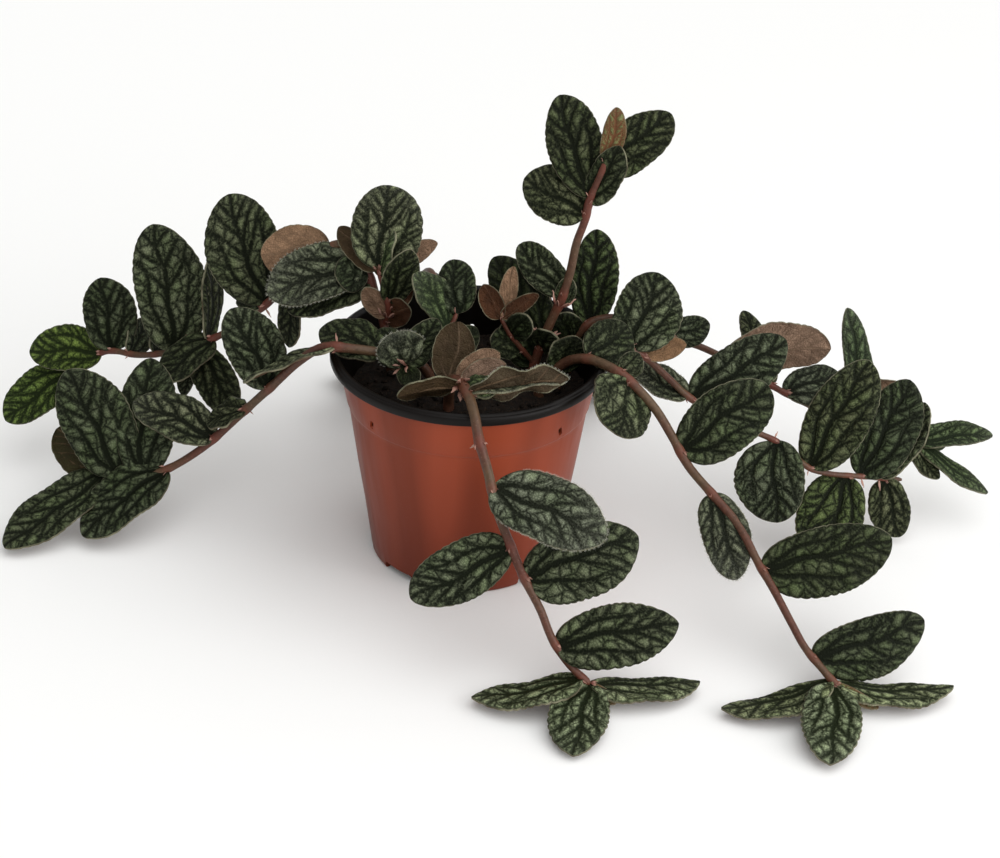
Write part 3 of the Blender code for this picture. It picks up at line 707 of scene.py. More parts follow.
@dataclass(frozen=True)
class StemFinish:
    """Grown succulent stem: a satin red-brown skin with olive stretches, pink at the nodes."""

    red: str = "#543024"
    olive: str = "#54402d"
    node: str = "#70362a"
    speck: str = "#75594a"
    stretch_mm: float = 26.0
    speck_mm: float = 1.6

    def material(self) -> Material:
        """Build the material.

        Returns:
            The finish that reads how near a node each point of the stem is.
        """
        recipe = Recipe("grown_stem_skin")
        add = recipe.add
        add("place", "TexCoord", out="Object")
        add("near", "Attribute", out="Fac", attribute_name="node_near")
        for name, size, detail in (("stretch", self.stretch_mm, 1.0), ("grain", self.speck_mm, 4.0)):
            add(name, "TexNoise", {"Vector": "place", "Scale": 1.0 / (size * MM), "Detail": detail})
        add("stretches", "MapRange", ("stretch", 0.4, 0.62))
        add("skin", "Mix", ("stretches", self.red, self.olive))
        add("shades", "MapRange", ("grain", 0.3, 0.7, 0.75, 1.2))
        add("mottled", "Mix", (1.0, "skin", "shades"), blend_type="MULTIPLY")
        add("dots", "TexVoronoi", {"Vector": "place", "Scale": 1.0 / (self.speck_mm * MM)})
        add("specks", "MapRange", ("dots", 0.1, 0.22, 0.55, 0.0))
        add("speckled", "Mix", ("specks", "mottled", self.speck))
        add("colour", "Mix", ("near", "speckled", self.node))
        return recipe.finish("colour", 0.45, 0.3, ("grain", 0.5, 0.25))


@dataclass(frozen=True)
class StipuleFinish:
    """Grown papery scale: pink-red at its root, dry and pale at its tip."""

    root: str = "#6c2420"
    tip: str = "#a1796a"
    dry_mm: float = 1.5

    def material(self) -> Material:
        """Build the material.

        Returns:
            The finish that fades along each scale.
        """
        recipe = Recipe("grown_papery_scale")
        add = recipe.add
        add("share", "Attribute", out="Fac", attribute_name="scale_share")
        add("place", "TexCoord", out="Object")
        add("dry", "TexNoise", {"Vector": "place", "Scale": 1.0 / (self.dry_mm * MM), "Detail": 3.0})
        add("fade", "Math", ("dry", "share"), operation="ADD", use_clamp=True)
        add("span", "MapRange", ("fade", 0.45, 1.0))
        add("colour", "Mix", ("span", self.root, self.tip))
        return recipe.finish("colour", 0.6)


@dataclass(frozen=True)
class HairFinish:
    """Grown leaf hairs: dry, colourless cells that look silvery white against the blade."""

    colour: str = "#a9a99c"

    def material(self) -> Material:
        """Build the plain pale material."""
        return Recipe("grown_leaf_hair").finish(self.colour, 0.7)


@dataclass(frozen=True)
class PotFinish:
    """Thermoformed polypropylene in two layers: terracotta outside, black inside and on the lip."""

    clay: str = "#984329"
    clay_dark_band: str = "#7a331c"
    # painted shade towards the foot
    clay_foot_shade: str = "#521d10"
    black: str = "#0b0705"
    dust: str = "#8a5240"
    band_and_reflection_mm: float = 26.0
    mark_mm: float = 3.0
    dust_mm: float = 0.8
    # where the streaks and painted reflection bands fall on the wall
    band_and_reflection_start: Place = (0.013, 0.0, 0.0)

    def material(self) -> Material:
        """Build the material.

        Returns:
            The finish that changes layer at the lip.
        """
        recipe = Recipe("thermoformed_two_layer_polypropylene")
        add = recipe.add
        add("place", "TexCoord", out="Object")
        add("layer", "Attribute", out="Fac", attribute_name="black_layer")
        # the sheet thins in broad streaks that run down the wall, where the black shows through, and
        # these bands are also a painted reflection of the surroundings on the glossy wall
        add("band_and_reflection_place", "Mapping", {"Vector": "place", "Location": self.band_and_reflection_start,
                                    "Scale": (1.0, 1.0, 0.06)})
        # draw marks run down the wall where the sheet was stretched, about 3 mm apart
        add("drawn", "Mapping", {"Vector": "place", "Scale": (1.0, 1.0, 0.03)})
        for name, source, size, detail in (("band_and_reflection_noise", "band_and_reflection_place", self.band_and_reflection_mm, 1.0),
                                           ("marks", "drawn", self.mark_mm, 2.0),
                                           ("speck", "place", self.dust_mm, 4.0)):
            add(name, "TexNoise", {"Vector": source, "Scale": 1.0 / (size * MM), "Detail": detail})
        add("bands_and_reflections", "MapRange", ("band_and_reflection_noise", 0.38, 0.6))
        add("clay", "Mix", ("bands_and_reflections", self.clay_dark_band, self.clay))
        # painted shade: the clay darkens towards the foot
        add("level", "SeparateXYZ", ("place",), out="Z")
        add("thin", "MapRange", ("level", 0.0, 70.0 * MM, 0.55, 0.0), interpolation_type="SMOOTHSTEP")
        add("clay", "Mix", ("thin", "clay", self.clay_foot_shade))
        add("dusty", "MapRange", ("speck", 0.6, 0.8, 0.0, 0.25))
        add("worn", "Mix", ("dusty", "clay", self.dust))
        add("colour", "Mix", ("layer", "worn", self.black))
        add("gloss", "MapRange", ("marks", 0.3, 0.7, 0.34, 0.46))
        return recipe.finish("colour", "gloss", 0.16, ("marks", 0.25, 0.12))


@dataclass(frozen=True)
class SoilFinish:
    """Peat potting soil: loose dark brown crumbs with paler fibres, and no shine."""

    dark: str = "#0c0907"
    brown: str = "#241a12"
    fibre: str = "#3f2f22"
    crumb_mm: float = 2.2
    fibre_mm: float = 0.7

    def material(self) -> Material:
        """Build the material.

        Returns:
            The finish with its crumbs and fibres.
        """
        recipe = Recipe("loose_peat_potting_soil")
        add = recipe.add
        add("place", "TexCoord", out="Object")
        add("lump", "TexNoise", {"Vector": "place", "Scale": 1.0 / (self.crumb_mm * MM),
                                 "Detail": 5.0, "Roughness": 0.65})
        add("lumps", "MapRange", ("lump", 0.35, 0.68))
        add("earth", "Mix", ("lumps", self.dark, self.brown))
        add("pulled", "Mapping", {"Vector": "place", "Scale": (1.0, 0.18, 1.0),
                                  "Rotation": (0.0, 0.0, 0.7)})
        add("thread", "TexNoise", {"Vector": "pulled", "Scale": 1.0 / (self.fibre_mm * MM),
                                   "Detail": 2.0})
        add("threads", "MapRange", ("thread", 0.62, 0.72, 0.0, 0.6))
        add("colour", "Mix", ("threads", "earth", self.fibre))
        return recipe.finish("colour", 0.95, 0.2, ("lump", 1.0, 1.2))


@dataclass
class BladeSheets:
    """Flat closed sheets that every leaf starts from, modelled once in three finenesses."""

    # the longest leaf that has each fineness, with its number of faces along and across
    sizes: tuple[tuple[float, tuple[int, int]], ...] = (
        (20.0, (26, 16)), (34.0, (42, 26)), (math.inf, (60, 34)))
    sheets: dict[tuple[int, int], Mesh] = field(default_factory=dict)

    def sheet(self, length: float) -> Mesh:
        """Give a copy of the sheet that suits a leaf.

        Args:
            length: length of the leaf in millimetres.

        Returns:
            A mesh with x from -1 to 1 along the leaf, y from -1 to 1 across it, and z 0 on the
            upper skin and -1 on the lower one.
        """
        size = next(size for longest, size in self.sizes if length <= longest)
        if size not in self.sheets:
            self.sheets[size] = thick_sheet(size, 1.0)
        return self.sheets[size].copy()


@dataclass
class LeafBlade:
    """One leaf, shaped from a flat sheet by the same rule as the solid leaf."""

    leaf: Leaf
    root: Vector
    draw: random.Random
    thickness: float = 0.6
    petiole: float = 1.0
    fullness: float = 2.3
    tooth_pitch: float = 3.6
    tooth: float = 0.026
    quilt: float = 0.8
    roll: float = 0.9
    basal_reach: float = 0.58
    basal_branches: tuple[int, ...] = (3, 5, 7, 9)
    inner_rung: float = 5.8
    outer_rung: float = 4.7
    wander: float = 0.75
    trim: float = 0.993
    pattern_width: float = 17.0

    def __post_init__(self) -> None:
        """Work out the leaf's own axes."""
        tip = Vector(self.leaf.tip)
        self.length = tip.length
        self.along = tip.normalized()
        up = Vector(self.leaf.face)
        self.up = (up - self.along * up.dot(self.along)).normalized()
        self.side = self.along.cross(self.up)

    def lay_out(self, flat: np.ndarray) -> None:
        """Lay the points of a sheet out on the flat leaf, with one row of numbers for each measure.

        Args:
            flat: the sheet's own points.
        """
        run, self.across, self.under = (flat * (0.5, 1.0, -1.0) + (0.5, 0.0, 0.0)).T
        self.share = 0.5 * run + 0.25 * (1.0 - np.cos(math.pi * run))
        self.bulge = np.sin(math.pi * self.share)
        self.margin = self.toothed_margin()
        self.out = np.abs(self.across) * self.margin
        self.x = self.share * self.length * self.trim
        self.y = self.across * self.margin
        # the veins wander a little, so none of them is a plain curve
        phase = self.draw.uniform(0.0, TURN)
        self.vein_x = self.x + self.wander * np.sin(self.y / 2.6 + phase)
        self.vein_y = self.y + self.wander * np.sin(self.x / 4.0 + 2.0 * phase)
        self.gap = self.clearance()

    def toothed_margin(self) -> np.ndarray:
        """Work out how far out the toothed margin lies beside each point.

        Returns:
            Millimetres from the midrib.
        """
        share, side = self.share, np.sign(self.across)
        off = 2.0 * share - 1.0
        base = (1.0 - np.abs(np.minimum(off, 0.0)) ** self.fullness) ** (1.0 / self.fullness)
        point = (1.0 - np.minimum(np.maximum(off, 0.0), 1.0) ** 2) ** self.leaf.point
        body = 0.5 * self.leaf.width * (1.0 + side * self.leaf.skew) * np.where(off < 0.0, base, point)
        teeth = max(4, round(self.length / self.tooth_pitch))
        phase = share * teeth + 0.35 * np.sin(9.0 * share + side * 2.0 + self.draw.random() * 6.0)
        crenate = np.abs(np.sin(math.pi * phase)) ** 0.6
        depth = self.tooth * self.leaf.teeth * np.clip(3.5 * share, 0.3, 1.0)
        toothed = np.maximum(self.petiole, body * (1.0 - depth + 1.5 * depth * crenate))
        return np.where(share > 0.98, np.minimum(toothed, body + 0.3), toothed)

    def basal_vein(self, way: float) -> tuple[np.ndarray, np.ndarray]:
        """Lay out one of the two strong veins that rise from the leaf's root.

        Args:
            way: side of the leaf, 1 or -1.

        Returns:
            Millimetres along the leaf and away from its midrib.
        """
        run = np.linspace(0.0, 1.0, 11)
        reach = self.basal_reach * 0.5 * self.leaf.width * (1.0 + way * self.leaf.skew)
        away = reach * (1.0 - np.exp(-run / 0.3)) * (1.0 + 0.08 * run)
        return (0.02 + 0.72 * run) * self.length, away

    def veins(self) -> list[tuple[np.ndarray, np.ndarray, float, float]]:
        """Lay out the dark veins on the flat leaf: midrib, basal veins, their branches, and ribs.

        Returns:
            For each vein the millimetres along and across the leaf of its points, and its half
            thickness at its start and at its end.
        """
        length, half, uniform = self.length, 0.5 * self.leaf.width, self.draw.uniform
        size = min(1.0, length / 42.0)
        veins = [(np.array((0.0, 0.5, 1.0)) * length, np.zeros(3), 1.25 * size, 0.45)]
        for way in (1.0, -1.0):
            x, away = self.basal_vein(way)
            veins.append((x, way * away, 0.85 * size, 0.3))
            for number in self.basal_branches:
                reach = np.linspace(0.0, half - away[number], 4)
                forward = x[number] + reach * uniform(0.7, 1.1)
                veins.append((forward, way * (away[number] + reach), 0.45 * size, 0.15))
            start_share = uniform(0.42, 0.5)
            while start_share < 0.86:
                out = np.linspace(0.0, 0.85 * half, 6)
                forward = start_share * length + out * uniform(1.1, 1.4) + 0.012 * out * out
                veins.append((forward, way * out, 0.6 * size, 0.3))
                start_share += uniform(0.15, 0.19)
        return veins

    def clearance(self) -> np.ndarray:
        """Measure how far each point is from the nearest vein's side.

        Returns:
            Millimetres, negative inside a vein.
        """
        best = np.full(self.x.shape, 6.0)
        here = np.stack([self.vein_x, self.vein_y], axis=-1)[:, None, :]
        for forward, out, thick, thin in self.veins():
            points = np.stack([forward, out], axis=1)
            begin, step = points[:-1], np.diff(points, axis=0)
            offset = here - begin[None]
            share = np.clip((offset * step).sum(-1) / (step ** 2).sum(-1), 0.0, 1.0)
            gap = np.linalg.norm(offset - share[..., None] * step, axis=-1)
            run = (np.arange(len(begin))[None] + share) / len(begin)
            best = np.minimum(best, (gap - thick - (thin - thick) * run).min(axis=1))
        return best

    def ladder(self) -> np.ndarray:
        """Count the short veins that join the strong ones like the rungs of a ladder.

        Returns:
            A count that is even on a rung and odd half-way to the next one.
        """
        x, y, off = self.vein_x, self.vein_y, np.abs(self.vein_y)
        count = np.zeros_like(x)
        for way in (1.0, -1.0):
            basal = np.interp(x, *self.basal_vein(way))
            inner = (x - 0.9 * off) / (self.inner_rung * self.draw.uniform(0.9, 1.1))
            outer = (x - 0.9 * basal - 0.65 * (off - basal)) / self.outer_rung
            outer = outer + self.draw.uniform(0.3, 0.7)
            chosen = np.where(off < basal, inner, outer) + 7.0 + self.draw.random()
            count = np.where(y * way >= 0.0, 2.0 * chosen, count)
        return count

    def relief(self) -> np.ndarray:
        """Work out how high the middle of the blade stands: arch, fold, pillows and waves.

        Returns:
            Millimetres above the flat leaf.
        """
        leaf, across, out, uniform = self.leaf, self.across, self.out, self.draw.uniform
        size = np.clip(self.margin / 8.0, 0.0, 1.0)
        high = leaf.arch * self.length * self.bulge + leaf.fold * (np.sqrt(out ** 2 + 0.6) - 0.77)
        pillow = self.quilt * (1.0 - np.exp(-np.maximum(self.gap, 0.0) / 2.0))
        high = high + pillow * np.clip((self.margin - out) / 1.8, 0.0, 1.0)
        high = high - self.roll * size * np.abs(across) ** 5
        begin = uniform(0.0, 6.28)
        wave = np.sin(6.28 * uniform(1.4, 2.3) * self.share + begin + 1.5 * across)
        high = high + leaf.wave * size * across ** 2 * wave
        twist = uniform(-0.12, 0.12) * np.cos(math.pi * self.share)
        return high + twist * across * self.margin * self.bulge

    def edge(self, places: np.ndarray, way: float) -> list[tuple[Vector, Vector, float]]:
        """Follow one margin of the leaf from root to tip.

        Args:
            places: where the sheet's points are, in millimetres.
            way: -1 or 1, the side of the leaf.

        Returns:
            Each place on the margin, the way outwards there, and how far along it lies.
        """
        picked = np.nonzero((self.across * way > 0.999) & (self.under < 0.5))[0]
        picked = picked[np.argsort(self.share[picked], kind="stable")]
        points = [Vector(point) for point in places[picked]]
        outward = []
        for before, after in zip(points[:1] + points, points[1:] + points[-1:]):
            out = (after - before).cross(self.up) * way
            outward.append(out.normalized() if out.length > 1e-6 else self.along.copy())
        return list(zip(points, outward, self.share[picked].tolist()))

    def dress(self, mesh: Mesh) -> None:
        """Store what the finish reads: measures, colours and the flat map.

        Args:
            mesh: mesh of the leaf.
        """
        tone, uniform = self.leaf.look.value, self.draw.uniform
        # a small leaf has the same pattern as a large one, only finer
        finer = max(1.0, self.pattern_width / self.leaf.width)
        from_rim = self.margin - self.out
        paint(mesh, "vein_gap", (self.gap + 0.5) * finer - 0.5)
        paint(mesh, "ladder", self.ladder())
        paint(mesh, "rim_gap", from_rim)
        paint(mesh, "underside", self.under)
        # each leaf is a little lighter or darker, and warmer or cooler, than its kind
        tint, warm = uniform(0.9, 1.1), uniform(0.97, 1.05)
        shade = np.array((tint * warm, tint, tint / warm ** 2, 1.0))
        for name, colour in (("upper_colour", tone.patch), ("under_colour", tone.under),
                             ("band_colour", tone.band), ("vein_colour", tone.under_vein)):
            paint(mesh, name, np.tile(linear(colour) * shade, (len(mesh.vertices), 1)))
        # silver hairs and painted sheen, strongest near the tip and the margin
        hair_and_sheen_share = 0.12 + 0.9 * self.share ** 5 + 0.9 * self.share * np.exp(-from_rim / 2.5)
        paint(mesh, "hairiness", tone.silver * hair_and_sheen_share)
        shift = (uniform(0.0, 9.0), uniform(0.0, 9.0))
        plane = np.stack([self.x, self.y], axis=1) * 0.01 * finer + shift
        corners = np.empty(len(mesh.loops), dtype=np.int32)
        mesh.loops.foreach_get("vertex_index", corners)
        layer = mesh.uv_layers.new(name="leaf_plane")
        layer.data.foreach_set("uv", plane[corners].astype(np.float32).ravel())

    def model(self, sheets: BladeSheets) -> Object:
        """Shape the leaf and dress it.

        Args:
            sheets: the flat sheets to start from.

        Returns:
            The leaf as an object at the origin.
        """
        mesh = sheets.sheet(self.length)
        self.lay_out(coordinates(mesh))
        # veins stand out on the underside, the midrib most
        rib = (0.7 - 0.5 * self.share) * np.exp(-(self.y / 0.8) ** 2)
        rib += 0.16 * np.exp(-(np.maximum(self.gap, 0.0) / 0.5) ** 2)
        z = self.relief() + self.thickness * (0.5 - self.under) - self.under * rib
        sway = self.draw.uniform(-0.035, 0.035) * self.length * self.bulge ** 2
        axes = np.array((self.along, self.side, self.up))
        places = np.array(self.root) + np.stack([self.x, self.y + sway, z], axis=1) @ axes
        set_coordinates(mesh, places * MM)
        # the leaf's own axes mirror the sheet, so its faces are turned to point outwards again
        mesh.flip_normals()
        self.edges = [self.edge(places, way) for way in (-1.0, 1.0)]
        self.dress(mesh)
        return show(mesh)


@dataclass
class HairFringe:
    """Fine hairs that stand along the margin of a silver leaf."""

    # a real hair is a third as thick; it is drawn as coarse as it needs to show
    length: float = 0.95
    radius: float = 0.05
    hairs: int = 8
    spacing: float = 1.0
    first: float = 0.12

    def model(self) -> Mesh:
        """Model one short row of hairs, each a thin closed cone that leans its own way.

        Returns:
            A mesh with its roots along x and its hairs along z, in millimetres.
        """
        draw = random.Random("row of hairs")
        row = start(bpy.ops.object.add, type="MESH", location=(0.0, 0.0, 0.0))
        with edit_mode(outwards=False):
            for number in range(self.hairs):
                length = self.length * draw.uniform(0.6, 1.25)
                along = self.spacing * ((number + 0.5) / self.hairs - 0.5)
                bpy.ops.mesh.primitive_cone_add(
                    vertices=3, radius1=self.radius, radius2=0.0, depth=length,
                    location=(along, draw.uniform(-0.2, 0.2), 0.4 * length),
                    rotation=(draw.uniform(-0.4, 0.4), draw.uniform(-0.1, 0.6), 0.0))
        return take_mesh(row)

    def line(self, pattern: Mesh, blade: LeafBlade) -> list[Object]:
        """Line both margins of a leaf with copies of the row.

        Args:
            pattern: mesh of the row.
            blade: the leaf, already modelled.

        Returns:
            The copies as objects at the origin.
        """
        rows = []
        for edge in blade.edges:
            last = None
            for place, out, run in edge:
                if run < self.first or (last is not None and (place - last).length < self.spacing):
                    continue
                if last is not None:
                    tangent = (place - last).normalized()
                    lift = out.cross(tangent).normalized()
                    matrix = to_axes(place, tangent, lift, out * (0.6 + 0.6 * run))
                    rows.append(show(pattern.copy(), matrix))
                last = place
        return rows


@dataclass
class LeafyStem:
    """A stem with its side shoots, leaves, stipules, rootlets and hairs."""

    name: str
    branches: tuple[Branch, ...]
    sheets: BladeSheets
    leaf: Material
    hair: Material
    skin: Material
    scale: Material
    ring_spacing: float = 1.6
    ring_sides: int = 4
    swelling: float = 0.14
    swelling_length: float = 2.6
    end_narrowing: float = 0.55
    node_colour: float = 0.45
    scale_length: float = 2.6
    scale_width: float = 1.1
    rootlet_length: float = 4.0
    rootlet_width: float = 0.22
    rootlet_chance: float = 0.2
    rootlets_from: float = 60.0
    trailing_length: float = 120.0
    bud_scales: int = 6
    bud_width: float = 2.3
    haired_from: float = 0.3
    bare_side: Place = (0.3, -1.0, 0.4)

    def __post_init__(self) -> None:
        """Seed the draws by the stem's name and follow each route."""
        self.draw = random.Random("begonia " + self.name)
        self.paths = [(branch, Curve(branch.route)) for branch in self.branches]

    def finish(self, parts: list[Object], kind: str, material: Material) -> None:
        """Join parts of one kind and dress them as a piece that stands for the stem's solid."""
        finish_piece(join(parts, f"{kind}_{self.name}"), material, "stem_" + self.name)

    def build_leaves(self) -> None:
        """Build all the leaves as one piece, and the hairs on the silver ones as another."""
        blades, hairs = [], []
        fringe = HairFringe()
        row = fringe.model()
        for branch, curve in self.paths:
            for leaf in branch.leaves:
                blade = LeafBlade(leaf, curve.place(leaf.at)[0], self.draw)
                blades.append(blade.model(self.sheets))
                if leaf.look.value.silver > self.haired_from:
                    hairs += fringe.line(row, blade)
        bpy.data.meshes.remove(row)
        self.finish(blades, "leaves", self.leaf)
        if hairs:
            self.finish(hairs, "hairs", self.hair)

    def near_node(self, branch: Branch, distance: float) -> float:
        """Give 1 at a leaf's node, falling to 0 a few millimetres away."""
        gaps = [abs(distance - at) for at in (*(leaf.at for leaf in branch.leaves), *branch.bare)]
        return math.exp(-(min(gaps) / self.swelling_length) ** 2)

    def radius(self, branch: Branch, curve: Curve, distance: float) -> float:
        """Give the radius of the stem in millimetres, which swells at each leaf."""
        plain = 0.5 * (branch.root + (branch.end - branch.root) * distance / curve.length)
        return plain * (0.9 + self.swelling * self.near_node(branch, distance))

    def model_tube(self, branch: Branch, curve: Curve) -> Object:
        """Model one stem as a round tube that follows its route.

        Args:
            branch: the branch.
            curve: its route.

        Returns:
            The tube as a mesh object at the origin.
        """
        count = max(6, round(curve.length / self.ring_spacing))
        tube = start(bpy.ops.object.add, type="CURVE", location=(0.0, 0.0, 0.0))
        tube.data.dimensions = "3D"
        tube.data.bevel_depth = 1.0
        tube.data.bevel_resolution = self.ring_sides
        tube.data.use_fill_caps = True
        spline = tube.data.splines.new("POLY")
        spline.points.add(count)
        marks = kdtree.KDTree(count + 1)
        nearness = []
        for number, point in enumerate(spline.points):
            distance = curve.length * number / count
            centre = curve.place(distance)[0] * MM
            point.co = (*centre, 1.0)
            narrowing = self.end_narrowing if number == count else 1.0
            point.radius = self.radius(branch, curve, distance) * narrowing * MM
            marks.insert(centre, number)
            nearness.append(self.near_node(branch, distance))
        marks.balance()
        bpy.ops.object.convert(target="MESH")
        tube = bpy.context.object
        with edit_mode():
            bpy.ops.mesh.remove_doubles(threshold=0.001 * MM)
        clear_maps(tube.data)
        near = np.array([nearness[marks.find(vertex.co)[1]] for vertex in tube.data.vertices])
        paint(tube.data, "node_near", near * self.node_colour)
        return tube

    def build_scales(self) -> None:
        """Build the stipules, buds and rootlets at the nodes as one piece."""
        uniform = self.draw.uniform
        scales = []
        pattern = self.model_scale()
        for branch, curve in self.paths:
            trails = curve.length > self.trailing_length
            nodes = [(leaf.at, leaf.tip, leaf.bud) for leaf in branch.leaves]
            for at, side, bud in nodes + [(at, self.bare_side, 0.0) for at in branch.bare]:
                spot = (*curve.place(at), Vector(side), self.radius(branch, curve, at))
                for turn in (1.0, -1.0, uniform(-0.5, 0.5)):
                    size = (self.scale_length * uniform(0.6, 1.1),
                            self.scale_width * uniform(0.8, 1.3))
                    scales.append(self.place_scale(pattern, spot, turn * uniform(0.8, 1.5), size))
                for number in range(self.bud_scales if bud else 0):
                    size = (bud * uniform(0.7, 1.1), self.bud_width * uniform(0.8, 1.2))
                    scales.append(self.place_scale(pattern, spot, 1.05 * number, size, 0.35))
                if trails and at > self.rootlets_from and self.draw.random() < self.rootlet_chance:
                    size = (self.rootlet_length * uniform(0.6, 1.2), self.rootlet_width)
                    rootlet = self.place_scale(pattern, spot, uniform(2.4, 3.8), size, 1.4)
                    dry = np.ones(len(rootlet.data.vertices), dtype=np.float32)
                    rootlet.data.attributes["scale_share"].data.foreach_set("value", dry)
                    scales.append(rootlet)
        bpy.data.meshes.remove(pattern)
        self.finish(scales, "stipules", self.scale)

    def model_scale(self) -> Mesh:
        """Model one papery scale once: a narrow pointed blade, bent outwards.

        Returns:
            A mesh with its root at the origin, 1 long along x and 2 wide along y.
        """
        mesh = thick_sheet((6, 2), 0.06)
        places = coordinates(mesh)
        share = 0.5 * (places[:, 0] + 1.0)
        places[:, 1] *= np.maximum(0.08, np.sin(math.pi * np.clip(0.16 + 0.84 * share, 0.0, 1.0)))
        places[:, 0] = share
        places[:, 2] += 0.35 * share ** 2 + 0.2 * places[:, 1] ** 2
        set_coordinates(mesh, places)
        paint(mesh, "scale_share", share)
        return mesh

    def place_scale(self, pattern: Mesh, spot: tuple[Vector, Vector, Vector, float], turn: float,
                    size: tuple[float, float], spread: float = 0.3) -> Object:
        """Place a copy of the scale beside a leaf's root.

        Args:
            pattern: mesh of the scale.
            spot: middle and direction of the stem there, direction of the leaf, stem's radius.
            turn: angle from the leaf about the stem, in radians.
            size: length and width in millimetres.
            spread: how far it leans out, next to how far it runs along the stem.

        Returns:
            The copy as an object at the origin.
        """
        centre, along, leafward, radius = spot
        out = leafward - along * leafward.dot(along)
        out = out.normalized() if out.length > 0.05 else along.orthogonal().normalized()
        out = Matrix.Rotation(turn, 3, along) @ out
        ahead = along * self.draw.uniform(0.5, 1.1) + out * spread * self.draw.uniform(0.6, 1.2)
        ahead.normalize()
        flat = out.cross(ahead).normalized()
        lift = ahead.cross(flat).normalized()
        length, width = size
        place = centre + out * (radius * 0.8)
        axes = (ahead * length, flat * width * 0.5, lift * length)
        return show(pattern.copy(), to_axes(place, *axes))

    def build(self) -> None:
        """Build every piece of the stem."""
        self.build_leaves()
        self.finish([self.model_tube(*path) for path in self.paths], "stem_skin", self.skin)
        self.build_scales()


